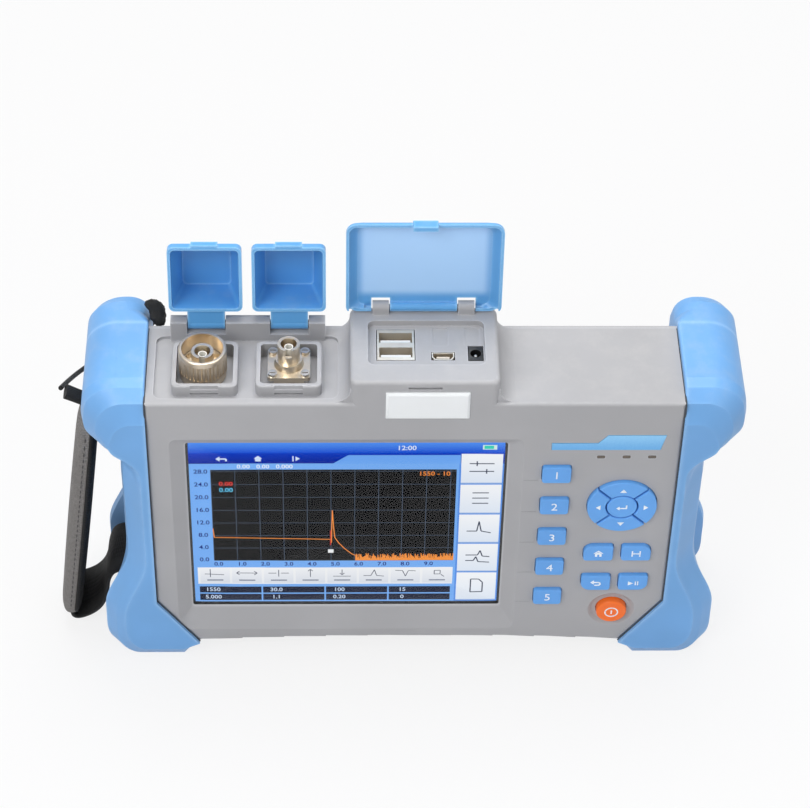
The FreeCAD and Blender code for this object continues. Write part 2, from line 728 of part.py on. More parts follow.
def front_housing():
    """Front shell: one moulding with the bezel, key holes, ports and hinge rails."""
    body = case_prism(0, Y_FACE, 0)
    body = body.makeFillet(EDGE_ROUND, edges_at(body, "Y", Y_FACE))
    body = joined([body, data_block(), flare(1), flare(-1)])
    body = body.cut(case_prism(WALL, Y_INNER, 1))
    body = body.cut(
        block(
            BLOCK_LEFT + WALL, BLOCK_RIGHT - WALL, Y_INNER, 1, Z_TOP - 2 * WALL, Z_DISH - WALL
        )
    )
    back_wall = block(
        BLOCK_LEFT + WALL, BLOCK_RIGHT - WALL, -WALL, 0, Z_TOP - WALL, Z_DISH - WALL
    )
    deck = block(
        DECK_LEFT, DECK_RIGHT, Y_INNER - 1, -RAIL_DEPTH, Z_DECK - DECK_THICK, Z_TOP - WALL / 2
    )
    bezel_out = screen_rect(SCREEN_LIP + LCD_MARGIN)
    bezel = block(
        bezel_out[0] - 1, bezel_out[1] + 1, Y_INNER - 1, Y_LCD + 2.5, bezel_out[2] - 1,
        bezel_out[3] + 1,
    ).common(case_prism(WALL / 2, Y_INNER - 1, Y_LCD + 3))
    bosses = [rod_y(BOSS_RADIUS, Y_INNER - 1, 0, x, z) for x, z in boss_places()]
    body = joined([body, back_wall, deck, bezel] + bosses)

    # Display opening: a slope, then the pockets of the lens and the panel.
    inner = screen_rect(SCREEN_LIP)
    outer_wire = rounded_wire(
        inner[0] - BEZEL_SIDE, inner[1] + BEZEL_SIDE, inner[2] - BEZEL_FOOT,
        inner[3] + BEZEL_TOP, (3,) * 4, in_front, Y_FACE - 0.01,
    )
    inner_wire = rounded_wire(*inner, (1,) * 4, in_front, Y_LENS)
    body = body.cut(Part.makeLoft([outer_wire, inner_wire], True, True))
    lens = screen_rect(SCREEN_LIP + LENS_MARGIN)
    body = body.cut(face_plate(*lens, 1, Y_LENS, Y_LCD + 9))
    lcd = screen_rect(LCD_MARGIN + 0.3)
    body = body.cut(block(lcd[0], lcd[1], Y_LCD, Y_LCD + 9, lcd[2], lcd[3]))

    # Keys, lamps, stripe and name plate.
    for x, z in soft_key_places():
        body = body.cut(soft_key(x, z, KEY_GAP, Y_FACE - 1, Y_INNER + 1))
    pad_z = Z_LOW + PAD_RISE
    body = body.cut(rod_y(PAD_RADIUS + KEY_GAP, Y_FACE - 1, Y_INNER + 1, NAV_X, pad_z))
    for side, rise, low in pair_keys():
        body = body.cut(pair_key(side, rise, low, KEY_GAP, Y_FACE - 1, Y_INNER + 1))
    power_z = Z_LOW + POWER_RISE
    body = body.cut(rod_y(POWER_RADIUS + KEY_GAP, Y_FACE - 1, Y_INNER + 1, NAV_X, power_z))
    dish = Part.makeCone(
        POWER_DISH, POWER_RADIUS + 1.6, POWER_DISH_DEPTH, V(NAV_X, Y_FACE, power_z), V(0, 1, 0)
    )
    body = body.cut(dish)
    for slot in lamp_slots(0, Y_FACE - 1, Y_INNER + 1):
        body = body.cut(slot)
    body = body.cut(stripe_profile(0, Y_FACE - 1, Y_FACE + STRIPE_SINK))
    body = body.cut(face_plate(*plate_rect(), 0.6, Y_FACE - 1, Y_FACE + PLATE_SINK))

    # Data ports.
    dish_left = BLOCK_X + 0.7 - DISH_WIDTH / 2
    body = body.cut(
        level_plate(
            dish_left, dish_left + DISH_WIDTH, Y_FACE + DISH_FRONT, Y_FACE + DISH_BACK, 2.5,
            Z_DISH, Z_BLOCK + 1,
        )
    )
    for x, width, row, length in port_holes():
        y = Y_FACE + row
        half_w = width / 2 + PANEL_GAP
        half_l = length / 2 + PANEL_GAP
        body = body.cut(
            block(x - half_w, x + half_w, y - half_l, y + half_l, Z_TOP - 1, Z_DISH + 1)
        )
    for x in (MINI_X - 0.8, JACK_X - 1.1):
        mark = level_plate(x - 2.8, x + 2.8, Y_FACE + 21.8, Y_FACE + 31.0, 0.5, Z_DISH - 0.3,
                           Z_DISH + 1)
        body = body.cut(mark)
    catch = block(
        BLOCK_X - 6, BLOCK_X + 6, Y_FACE - 1, Y_FACE + 1.2, Z_BLOCK - 3.2, Z_BLOCK - 2.2
    )
    body = body.cut(catch)
    body = joined([body] + [lid_ear(x) for x in ear_centres()])
    reach = EAR_SPREAD + EAR_WIDTH
    body = body.cut(
        rod_x(LID_PIN, BLOCK_X - reach, BLOCK_X + reach, LID_AXIS_Y, LID_AXIS_Z)
    )

    # Optical ports.
    body = body.cut(
        level_plate(DECK_LEFT, DECK_RIGHT, Y_FACE + DECK_FRONT, -RAIL_DEPTH + 1, 3, Z_DECK,
                    Z_TOP + 1)
    )
    body = joined([body, hinge_rail()] + [curb(x) for x in (PORT_LEFT_X, PORT_RIGHT_X)])
    for x in (PORT_LEFT_X, PORT_RIGHT_X):
        half = CURB_SIZE / 2 - CURB_WALL
        body = body.cut(
            level_plate(x - half, x + half, CURB_Y - half, CURB_Y + half, 1.5, Z_CURB_FLOOR,
                        Z_CURB + 1)
        )
    for x in (OTDR_X, PORT_RIGHT_X):
        body = body.cut(rod_z(STEM_RADIUS + PANEL_GAP, Z_TOP - 9, Z_TOP + 1, x, ADAPTER_AT))
    for x, z in boss_places():
        body = body.cut(rod_y(BOSS_BORE, Y_INNER + 4, 1, x, z))
    return body


def pair_keys():
    """Side, height and whether the lower outer corner is the round one."""
    return [
        (-1, HOME_RISE, False), (1, HOME_RISE, False),
        (-1, ESCAPE_RISE, True), (1, ESCAPE_RISE, True),
    ]


def port_holes():
    """Centre, width, row and length of each data socket on the block top."""
    return [
        (USB_X, USB_WIDTH, PORT_ROW, USB_STACK),
        (MINI_X, MINI_WIDTH, MINI_ROW, MINI_HEIGHT),
        (JACK_X, JACK_WIDTH, JACK_ROW, JACK_LENGTH),
    ]


def rear_profile(inset):
    """Side view of the rear shell: a sloped shoulder, a flat back, a rounded foot."""
    back = Y_BACK - inset
    slope_in = inset * (math.sqrt(2) - 1)
    top = Z_TOP - inset
    start = Y_BACK - BACK_SLOPE - slope_in
    points = [
        (-1 if inset else 0, top), (start, top), (back, Z_TOP - BACK_SLOPE - slope_in),
        (back, Z_LOW + 5 + slope_in), (back - 5, Z_LOW - TOE_DROP - 1 + inset),
        (-1 if inset else 0, Z_LOW - TOE_DROP - 1 + inset),
    ]
    spots = [V(-HALF + inset, y, z) for y, z in points]
    face = Part.Face(Part.makePolygon(spots + spots[:1]))
    return face.extrude(V(CASE_WIDTH - 2 * inset, 0, 0))


def battery_rect(grow):
    half = BATTERY_WIDTH / 2 + grow
    low = Z_LOW + BATTERY_RISE
    return -half, half, low - grow, low + BATTERY_HEIGHT + grow


def stand_rect(grow):
    """Left, right, bottom and top of the folded stand."""
    half = STAND_WIDTH / 2 + grow
    top = Z_LOW + STAND_TOP_RISE
    return -half, half, top - STAND_LENGTH - grow, top + grow


def rear_housing():
    """Rear shell with the battery well, the stand recess and the screw wells."""
    outer = rear_profile(0).common(case_prism(0, 0, Y_BACK + 1))
    cavity = rear_profile(WALL).common(case_prism(WALL, -1, Y_BACK + 1))
    body = outer.cut(cavity)
    well = battery_rect(BATTERY_GAP + WELL_WALL)
    body = joined([
        body,
        block(well[0], well[1], Y_DOOR - BATTERY_THICK - WELL_WALL - BATTERY_GAP, Y_DOOR,
              well[2], well[3]).common(outer),
    ])
    room = battery_rect(BATTERY_GAP)
    body = body.cut(
        block(room[0], room[1], Y_DOOR - BATTERY_THICK - BATTERY_GAP, Y_BACK + 1, room[2],
              room[3])
    )
    seat = battery_rect(DOOR_LAP)
    body = body.cut(face_plate(*seat, 2.5, Y_DOOR, Y_BACK + 1))
    pocket = stand_rect(STAND_GAP)
    thicker = block(
        pocket[0] - WALL, pocket[1] + WALL, Y_BACK - STAND_THICK - WALL - STAND_GAP,
        Y_BACK - 1, pocket[2] - WALL, pocket[3] + WALL,
    ).common(outer)
    body = joined([body, thicker])
    body = body.cut(
        face_plate(*pocket, 1.5, Y_BACK - STAND_THICK - STAND_GAP, Y_BACK + 1)
    )
    finger = rod_y(FINGER_NOTCH, Y_BACK - STAND_THICK - STAND_GAP, Y_BACK + 1, 0, pocket[2])
    body = body.cut(finger)
    body = body.cut(stand_pin(0))
    wells = []
    for x, z in boss_places():
        wells.append(rod_y(CASE_SCREW_HEAD + 1.3, 0, Y_BACK, x, z).common(outer))
    body = joined([body] + wells)
    for x, z in boss_places():
        body = body.cut(rod_y(BOSS_BORE + 0.3, -1, Y_BACK + 1, x, z))
        body = body.cut(rod_y(CASE_SCREW_HEAD + 0.3, CASE_SCREW_SEAT, Y_BACK + 1, x, z))
    for x, z in door_screw_places():
        body = body.cut(rod_y(BOSS_BORE, Y_DOOR - 5, Y_BACK, x, z))
    return body


def door_screw_places():
    edge = BATTERY_WIDTH / 2 + DOOR_LAP / 2 + 0.2
    z = Z_LOW + BATTERY_RISE + BATTERY_HEIGHT / 2
    return [(-edge, z), (edge, z)]


# ------------------------------------------------------------------- bumpers
def ramp(value, low, high):
    """A smooth step from nought below low to one above high."""
    share = min(max((value - low) / (high - low), 0.0), 1.0)
    return share * share * (3 - 2 * share)


def bumper_outline(y, inset, drop, lift, lobe, inner_round):
    """Cross-section of the rubber at one depth, right hand side.

    The reach follows the height: a waist for the hand, an upper lobe over it and a
    lower lobe under it, whose size is scaled by lobe.  The top corner is a quarter
    circle.  inset draws the outer edge in, drop lowers the top and lift raises the sole.
    """
    top = Z_TOP + BUMPER_OVER - drop
    sole = lift - 1.0
    grip_top = Z_LOW + UPPER_RISE
    upper_full = grip_top + GRIP_BLEND_TOP
    lower_full = Z_LOW + LOWER_RISE
    grip_low = lower_full + GRIP_BLEND_LOW
    steps = 15
    low = FOOT_ROUND + sole
    high = top - SHOULDER_ROUND

    def reach(z):
        upper = (UPPER_REACH - WAIST_REACH) * ramp(z, grip_top, upper_full)
        lower = (LOWER_REACH - WAIST_REACH) * (1 - ramp(z, lower_full, grip_low)) * lobe
        return WAIST_REACH + upper + lower - inset

    spots = []
    arc_steps = 4
    top_reach = reach(high)
    radius = min(SHOULDER_ROUND, top_reach * 0.6)
    inner_round = min(inner_round, top_reach * 0.35)
    for number in range(arc_steps):
        turn = math.pi / 2 * number / arc_steps
        spots.append(
            (top_reach - radius + radius * math.sin(turn), high + SHOULDER_ROUND * math.cos(turn))
        )
    for number in range(steps + 1):
        z = high + (low - high) * number / steps
        spots.append((reach(z), z))
    foot_reach = reach(low)
    foot_round = FOOT_ROUND - inset * 0.4
    for number in range(1, arc_steps + 1):
        turn = math.pi / 2 * number / arc_steps
        spots.append((
            foot_reach - foot_round * (1 - math.cos(turn)),
            low - (low - sole) * math.sin(turn),
        ))
    sole_end = foot_reach - foot_round
    outer = Part.BSplineCurve()
    outer.interpolate([V(HALF + dx, y, z) for dx, z in spots])
    toe = V(HALF - TOE_IN, y, Z_LOW - TOE_DROP)
    sole_in = V(HALF - TOE_IN + SOLE_INSET, y, sole)
    bend = V(HALF, y, Z_LOW + CORNER_RISE)
    crest = V(HALF + inner_round * 0.3, y, top - inner_round * 0.3)
    inner_low = V(HALF, y, top - inner_round)
    crest_end = V(HALF + spots[0][0], y, top)
    inner_top = V(HALF + inner_round, y, top)
    edges = [
        outer.toShape(),
        Part.makeLine(V(HALF + sole_end, y, sole), sole_in),
        Part.makeLine(sole_in, toe),
        Part.makeLine(toe, bend),
        Part.makeLine(bend, inner_low),
        Part.Arc(inner_low, crest, inner_top).toShape(),
        Part.makeLine(inner_top, crest_end),
    ]
    return Part.Wire(edges)


def quarter(depth, radius):
    """Drop of a quarter-round edge at some depth behind its front."""
    if depth >= radius:
        return 0.0
    return radius - math.sqrt(radius * radius - (radius - depth) ** 2)


def above_bench(shape):
    """Cut the sole flat where the rubber meets the bench."""
    span = HALF + UPPER_REACH + 5
    return shape.common(block(-span, span, Y_FACE - 9, Y_BACK + 9, 0, Z_BLOCK + 20))


def front_bumper():
    """Front half of the right bumper: chamfered front, pinched where the strap passes."""
    front = Y_FACE - BUMPER_PROUD
    sections = []
    for y, lobe in (
        (front, 0.9), (front + 3, 1.0), (front + 8, 1.0), (front + 12.5, 0.55),
        (front + 17, STRAP_WAIST), (front + 29, STRAP_WAIST), (0, STRAP_WAIST),
    ):
        depth = y - front
        inset = FRONT_INSET * (1 - ramp(depth, -4, 11)) * 1.2
        drop = quarter(depth, FRONT_ROUND)
        lift = quarter(depth, SOLE_ROUND)
        sections.append(bumper_outline(y, inset, drop, lift, lobe, 0.8))
    return above_bench(Part.makeLoft(sections, True, True))


def rear_bumper():
    """Rear half of the right bumper, with its own foot and a rounded back."""
    back = Y_BACK + BUMPER_TAIL
    sections = []
    for y, lobe in (
        (0, STRAP_WAIST), (3.5, STRAP_WAIST + 0.25), (7.5, 0.95), (11, 1.0), (15, 1.0),
        (back, 0.9),
    ):
        depth = back - y
        inset = BACK_INSET * (1 - ramp(depth, -3, 8))
        round_in = 0.8 + 9 * ramp(y, 0, 9)
        drop = quarter(depth, BACK_ROUND)
        lift = quarter(depth, SOLE_ROUND)
        sections.append(bumper_outline(y, inset, drop, lift, lobe, round_in))
    return above_bench(Part.makeLoft(sections, True, True))



# ------------------------------------------------------------ display and keys
def display_lens():
    rect = screen_rect(SCREEN_LIP + LENS_MARGIN - 0.2)
    return face_plate(*rect, 0.8, Y_LENS, Y_LCD)


def lcd_panel():
    """The display module, a glass on a shallow metal tray."""
    rect = screen_rect(LCD_MARGIN)
    tray = block(rect[0], rect[1], Y_LCD, Y_BRACKET, rect[2], rect[3])
    rim = screen_rect(3.0)
    step = block(rect[0] - 1, rect[1] + 1, Y_LCD - 1, Y_LCD + 0.4, rect[2] - 1, rect[3] + 1)
    step = step.cut(block(rim[0], rim[1], Y_LCD - 2, Y_LCD + 1, rim[2], rim[3]))
    outer_rim = screen_rect(LENS_MARGIN + SCREEN_LIP)
    keep = block(
        outer_rim[0] - 2, outer_rim[1] + 2, Y_LCD - 2, Y_LCD + 1, outer_rim[2] - 2,
        outer_rim[3] + 2,
    )
    return tray.cut(step.common(keep))


def standoff_places():
    rect = screen_rect(-2.0)
    return [(x, z) for x in rect[:2] for z in rect[2:]]


def lcd_bracket():
    """Sheet frame behind the display, with the standoffs of the main board."""
    rect = screen_rect(LCD_MARGIN)
    y1 = Y_BRACKET + BRACKET_THICK
    sheet = face_plate(*rect, 2, Y_BRACKET, y1)
    window = screen_rect(-8)
    middle = (window[0] + window[1]) / 2
    sheet = sheet.cut(face_plate(window[0], middle - 5, window[2], window[3], 3, Y_BRACKET - 1,
                                 y1 + 1))
    sheet = sheet.cut(face_plate(middle + 5, window[1], window[2], window[3], 3, Y_BRACKET - 1,
                                 y1 + 1))
    posts = [rod_y(STANDOFF_RADIUS, Y_BRACKET, Y_MAIN, x, z) for x, z in standoff_places()]
    return joined([sheet] + posts)


def main_board():
    left = -HALF + WALL + MAIN_BOARD_SIDE
    low = Z_LOW + WALL + MAIN_BOARD_RISE
    top = Z_LOW + MAIN_BOARD_TOP
    board = face_plate(left, -left, low, top, BOARD_ROUND, Y_MAIN, Y_OPTICS)
    board = board.common(case_prism(WALL + MAIN_BOARD_SIDE / 2, Y_MAIN - 1, Y_OPTICS + 1))
    for x, z in boss_places():
        board = board.cut(rod_y(BOSS_RADIUS + BOSS_CLEAR, Y_MAIN - 1, Y_OPTICS + 1, x, z))
    chips = [
        block(x, x + width, Y_OPTICS, Y_OPTICS + thick, low + rise, low + rise + height)
        for x, width, rise, height, thick in CHIPS
    ]
    return joined([board] + chips)


def keypad_board():
    left = screen_rect(LCD_MARGIN)[1] + KEYPAD_SIDE
    right = HALF - WALL - KEYPAD_CLEAR
    low = Z_LOW + WALL + KEYPAD_FOOT
    top = Z_LOW + LAMP_RISE + 4
    board = face_plate(left, right, low, top, KEYPAD_ROUND, Y_KEYPAD, Y_KEYPAD + BOARD)
    return board.common(case_prism(WALL + KEYPAD_CLEAR, Y_KEYPAD - 1, Y_KEYPAD + BOARD + 1))


def keypad_mat():
    """Rubber switch mat; its rim carries it against the inside of the case face."""
    left = screen_rect(LCD_MARGIN)[1] + KEYPAD_SIDE + MAT_INSET
    right = HALF - WALL - KEYPAD_CLEAR - MAT_INSET
    low = Z_LOW + WALL + KEYPAD_FOOT + MAT_INSET
    top = Z_LOW + LAMP_RISE - LAMP_HEIGHT
    sheet = face_plate(left, right, low, top, KEYPAD_ROUND, Y_MAT, Y_KEYPAD)
    rim = face_plate(left, right, low, top, KEYPAD_ROUND, Y_INNER, Y_KEYPAD)
    open_low = low - (top - low)
    rim = rim.cut(face_plate(left + MAT_RIM, right - MAT_RIM, open_low, top - MAT_RIM, 1,
                             Y_INNER - 1, Y_KEYPAD + 1))
    both = joined([sheet, rim])
    return both.common(case_prism(WALL + KEYPAD_CLEAR, Y_INNER - 1, Y_KEYPAD + 1))


def crowned(body, amount):
    """Soften the front edge of a key."""
    return body.makeFillet(amount, edges_at(body, "Y", Y_FACE - KEY_PROUD))


def key_depth():
    return Y_FACE - KEY_PROUD, Y_INNER + KEY_BACK


def direction_keys():
    """Four quarter-ring keys round the middle key, cut apart along the diagonals."""
    y0, y1 = key_depth()
    z = Z_LOW + PAD_RISE
    inner = ENTER_RADIUS + ENTER_GAP
    ring = rod_y(PAD_RADIUS, y0, y1, NAV_X, z).cut(rod_y(inner, y0 - 1, y1 + 1, NAV_X, z))
    span = PAD_RADIUS + 2
    bar = block(-span, span, y0 - 1, y1 + 1, -PAD_SLIT / 2, PAD_SLIT / 2)
    for turn in (45, 135):
        slit = bar.copy()
        slit.rotate(V(0, 0, 0), V(0, 1, 0), turn)
        slit.translate(V(NAV_X, 0, z))
        ring = ring.cut(slit)
    keys = {}
    for solid in ring.Solids:
        dx = solid.CenterOfMass.x - NAV_X
        dz = solid.CenterOfMass.z - z
        if abs(dx) > abs(dz):
            name = "key_right" if dx > 0 else "key_left"
        else:
            name = "key_up" if dz > 0 else "key_down"
        keys[name] = crowned(solid, 0.5)
    return keys


def keys():
    y0, y1 = key_depth()
    made = direction_keys()
    for number, (x, z) in enumerate(soft_key_places()):
        made["key_f%d" % (number + 1)] = crowned(soft_key(x, z, 0, y0, y1), 0.5)
    for name, (side, rise, low) in zip(
        ("key_home", "key_marker", "key_escape", "key_run"), pair_keys()
    ):
        made[name] = crowned(pair_key(side, rise, low, 0, y0, y1), 0.5)
    enter = rod_y(ENTER_RADIUS, y0, y1, NAV_X, Z_LOW + PAD_RISE)
    made["key_enter"] = crowned(enter, 0.6)
    power = rod_y(POWER_RADIUS, y0, y1, NAV_X, Z_LOW + POWER_RISE)
    made["key_power"] = crowned(power, 0.8)
    return made


def lamp_pipes():
    """Three clear bars that carry the light of the status lamps to the face."""
    return Part.makeCompound(lamp_slots(-0.05, Y_FACE, Y_KEYPAD))


def stripe_overlay():
    return stripe_profile(-0.15, Y_FACE + STRIPE_SINK - STRIPE_THICK, Y_FACE + STRIPE_SINK)


def name_plate():
    """Bare bevelled plate under the data ports."""
    left, right, low, high = plate_rect()
    y_back = Y_FACE + PLATE_SINK
    y_edge = y_back - PLATE_THICK + 0.7
    gap = PLATE_GAP
    body = face_plate(left + gap, right - gap, low + gap, high - gap, 0.5, y_edge, y_back)
    rear = rounded_wire(left + gap, right - gap, low + gap, high - gap, (0.5,) * 4, in_front,
                        y_edge)
    front = rounded_wire(left + 1, right - 1, low + 1, high - 1, (0.5,) * 4, in_front,
                         y_back - PLATE_THICK)
    return joined([body, Part.makeLoft([rear, front], True, True)])


# ------------------------------------------------------------------ port covers
def small_cover(x):
    """Deep box cover of one optical port, drawn shut."""
    half_w = CURB_SIZE / 2 + COVER_GAP + COVER_WALL
    rim = Z_DECK + COVER_LIFT
    top = rim + COVER_HEIGHT
    front = CURB_Y - half_w
    rear = CURB_Y + CURB_SIZE / 2 + COVER_REAR_GAP + COVER_WALL

    def tapered(inset, z0, z1):
        corners = (COVER_ROUND - inset / 2,) * 4
        low = rounded_wire(
            x - half_w + inset, x + half_w - inset, front + inset, rear - inset, corners,
            on_top, z0,
        )
        side = inset + COVER_TAPER
        high = rounded_wire(
            x - half_w + side, x + half_w - side, front + inset + COVER_SLANT,
            rear - inset - COVER_REAR_TAPER, corners, on_top, z1,
        )
        return Part.makeLoft([low, high], True, True)

    skirt = Z_CURB + SKIRT_OVER
    shell = joined([
        level_plate(x - half_w, x + half_w, front, rear, COVER_ROUND, rim, skirt),
        tapered(0, skirt, top),
    ])
    shell = shell.makeFillet(COVER_EDGE, edges_at(shell, "Z", top))
    room = joined([
        level_plate(
            x - half_w + COVER_WALL, x + half_w - COVER_WALL, front + COVER_WALL,
            rear - COVER_WALL, COVER_ROUND - COVER_WALL / 2, rim - 1, skirt,
        ),
        tapered(COVER_WALL, skirt, top - COVER_ROOF),
    ])
    shell = shell.cut(room)
    half_k = KNUCKLE_WIDTH / 2
    arm = block(x - half_k, x + half_k, rear - COVER_WALL / 2, HINGE_Y, HINGE_Z - ARM_HALF,
                HINGE_Z + ARM_HALF)
    barrel = rod_x(RAIL_ROUND - PIN_GAP * 2, x - half_k, x + half_k, HINGE_Y, HINGE_Z)
    tab = block(x - TAB_WIDTH / 2, x + TAB_WIDTH / 2, front - TAB_PROUD, front + COVER_WALL / 2,
                rim, skirt)
    shell = joined([shell, arm, barrel, tab])
    return shell.cut(rod_x(PIN_RADIUS + PIN_GAP, x - half_k - 1, x + half_k + 1, HINGE_Y, HINGE_Z))


def opened(shape, angle, y, z):
    """Swing a cover back from its shut place."""
    turned = shape.copy()
    turned.rotate(V(0, y, z), V(1, 0, 0), -angle)
    return turned


def data_cover():
    """Cover over the data ports, drawn shut: a shallow dished lid with a skirt."""
    left = BLOCK_LEFT - COVER_GAP - COVER_WALL
    right = BLOCK_RIGHT + COVER_GAP + COVER_WALL
    front = Y_FACE - COVER_GAP - COVER_WALL
    rear = LID_AXIS_Y + LID_BEAD
    low = Z_BLOCK - LID_HANG
    seat = Z_BLOCK + COVER_GAP
    roof = Z_BLOCK + LID_HEIGHT
    skirt = level_plate(left, right, front, rear, LID_ROUND, low, seat)
    foot = rounded_wire(left, right, front, rear, (LID_ROUND,) * 4, on_top, seat)
    crown = rounded_wire(
        left + LID_TAPER, right - LID_TAPER, front + LID_TAPER, rear - LID_REAR_TAPER,
        (LID_ROUND,) * 4, on_top, roof,
    )
    shell = joined([skirt, Part.makeLoft([foot, crown], True, True)])
    shell = shell.makeFillet(LID_EDGE, edges_at(shell, "Z", roof))
    skirt_room = level_plate(
        left + COVER_WALL, right - COVER_WALL, front + COVER_WALL, rear + 9,
        LID_ROUND - COVER_WALL, low - 1, seat,
    )
    ceiling = roof - COVER_WALL
    wide = rounded_wire(
        left + COVER_WALL, right - COVER_WALL, front + COVER_WALL, rear - COVER_WALL,
        (LID_ROUND - COVER_WALL,) * 4, on_top, seat,
    )
    inside = COVER_WALL + LID_DISH
    narrow = rounded_wire(
        left + inside, right - inside, front + inside, rear - LID_REAR_TAPER - LID_EDGE,
        (LID_ROUND - COVER_WALL,) * 4, on_top, ceiling,
    )
    shell = shell.cut(skirt_room).cut(Part.makeLoft([wide, narrow], True, True))
    shell = shell.cut(
        block(left - 1, right + 1, LID_AXIS_Y - COVER_GAP, rear + 1, low - 1,
              LID_AXIS_Z - COVER_WALL)
    )
    ear_in = EAR_SPREAD - EAR_WIDTH / 2
    bead = rod_x(LID_BEAD, BLOCK_X - ear_in + EAR_GAP, BLOCK_X + ear_in - EAR_GAP, LID_AXIS_Y,
                 LID_AXIS_Z)
    web = block(BLOCK_X - ear_in + EAR_GAP, BLOCK_X + ear_in - EAR_GAP, LID_AXIS_Y,
                LID_AXIS_Y + LID_BEAD, LID_AXIS_Z - COVER_WALL / 2, ceiling + COVER_WALL / 4)
    shell = joined([shell, bead, web])
    for x in ear_centres():
        half = EAR_WIDTH / 2 + EAR_GAP
        shell = shell.cut(
            block(x - half, x + half, LID_AXIS_Y - EAR_ROUND - EAR_GAP * 3, rear + 1, low - 1,
                  LID_AXIS_Z + EAR_ROUND + EAR_GAP)
        )
    latch = Z_BLOCK - LATCH_HANG
    half_l = LATCH_WIDTH / 2
    tab = level_plate(BLOCK_X - half_l, BLOCK_X + half_l, front - TAB_PROUD, front + COVER_WALL,
                      HOOK_RISE, latch, seat + HOOK_RISE)
    hook = block(BLOCK_X - half_l + 1, BLOCK_X + half_l - 1, front + COVER_WALL / 2,
                 Y_FACE - PIN_GAP, latch + HOOK_RISE, latch + HOOK_RISE + HOOK_THICK)
    shell = joined([shell, tab, hook])
    reach = EAR_SPREAD + EAR_WIDTH
    return shell.cut(
        rod_x(LID_PIN + PIN_GAP, BLOCK_X - reach, BLOCK_X + reach, LID_AXIS_Y, LID_AXIS_Z)
    )


def port_cover_pins():
    reach = KNUCKLE_WIDTH / 2 + KNUCKLE_GAP + KNUCKLE_WIDTH / 4
    return Part.makeCompound([
        rod_x(PIN_RADIUS, x - reach, x + reach, HINGE_Y, HINGE_Z)
        for x in (PORT_LEFT_X, PORT_RIGHT_X)
    ])


def data_cover_pin():
    reach = EAR_SPREAD + EAR_WIDTH / 2
    return rod_x(LID_PIN, BLOCK_X - reach, BLOCK_X + reach, LID_AXIS_Y, LID_AXIS_Z)


# ------------------------------------------------------------ optical adapters
def keyed_barrel(x, y, z0, floor, z1):
    """Round adapter barrel, hollow above its floor, with a key slot in its wall."""
    barrel = rod_z(BARREL_RADIUS, z0, z1, x, y)
    barrel = barrel.cut(rod_z(BARREL_BORE, floor, z1 + 1, x, y))
    return barrel.cut(
        block(x - KEY_SLOT / 2, x + KEY_SLOT / 2, y - BARREL_RADIUS - 1, y, z1 - KEY_SLOT_DEPTH,
              z1 + 1)
    )


def sleeve_span():
    """Bottom and top of the ferrule sleeves."""
    top = Z_CURB_FLOOR + HUB_HEIGHT - 1.5
    return top - SLEEVE_LENGTH, top


def otdr_port_base():
    """Fixed core inside the knurled ring: a disc with three pockets and a keyed hub."""
    x, y = OTDR_X, ADAPTER_AT
    low = Z_CURB_FLOOR
    core = rod_z(RING_BORE - CORE_GAP, low, low + CORE_HEIGHT, x, y)
    foot = rod_z(RING_RADIUS - CORE_FOOT_IN, low, low + RING_LIFT - CORE_FOOT_GAP, x, y)
    disc = joined([core, foot])
    top = low + CORE_HEIGHT
    for turn in range(30, 360, 120):
        a = math.radians(turn)
        spot = (x + POCKET_CIRCLE * math.cos(a), y + POCKET_CIRCLE * math.sin(a))
        disc = disc.cut(rod_z(POCKET_RADIUS, top - POCKET_DEPTH, top + POCKET_DEPTH, *spot))
    stem = rod_z(STEM_RADIUS, Z_TOP - DECK_THICK - 3, low + 1, x, y)
    z0, z1 = sleeve_span()
    disc = disc.cut(rod_z(BARREL_RADIUS - HUB_SEAT, low + 1, low + HUB_HEIGHT, x, y))
    hub = keyed_barrel(x, y, low + 1, z0 + SLEEVE_SEAT, low + HUB_HEIGHT)
    body = joined([disc, stem, hub])
    return body.cut(rod_z(SLEEVE_RADIUS, z0, z1 + 9, x, y))


def otdr_ring():
    """Knurled ring round the port; the grooves are cut by one pattern."""
    x, y = OTDR_X, ADAPTER_AT
    low = Z_CURB_FLOOR + RING_LIFT
    high = low + RING_HEIGHT
    ring = rod_z(RING_RADIUS, low, high, x, y)
    ring = ring.makeFillet(0.5, edges_at(ring, "Z", high))
    ring = ring.cut(rod_z(RING_BORE, low - 1, high + 1, x, y))
    band = ring.cut(rod_z(RING_RADIUS + 1, high - 2.0, high + 1, x, y))
    crown = ring.common(rod_z(RING_RADIUS + 1, high - 2.0, high + 1, x, y))
    cutter = []
    for number in range(RING_GROOVES):
        turn = 2 * math.pi * number / RING_GROOVES
        spot = (x + RING_RADIUS * math.cos(turn), y + RING_RADIUS * math.sin(turn))
        size = GROOVE
        groove = block(-size, size, -size, size, low + 1.2, high - 2.0)
        groove.rotate(V(0, 0, 0), V(0, 0, 1), math.degrees(turn) + 45)
        groove.translate(V(spot[0], spot[1], 0))
        cutter.append(groove)
    band = band.cut(Part.makeCompound(cutter))
    return joined([band, crown])


def flange_hole_places():
    half = FLANGE_HOLES / 2
    return [
        (PORT_RIGHT_X + sx * half, ADAPTER_AT + sy * half) for sx in (-1, 1) for sy in (-1, 1)
    ]


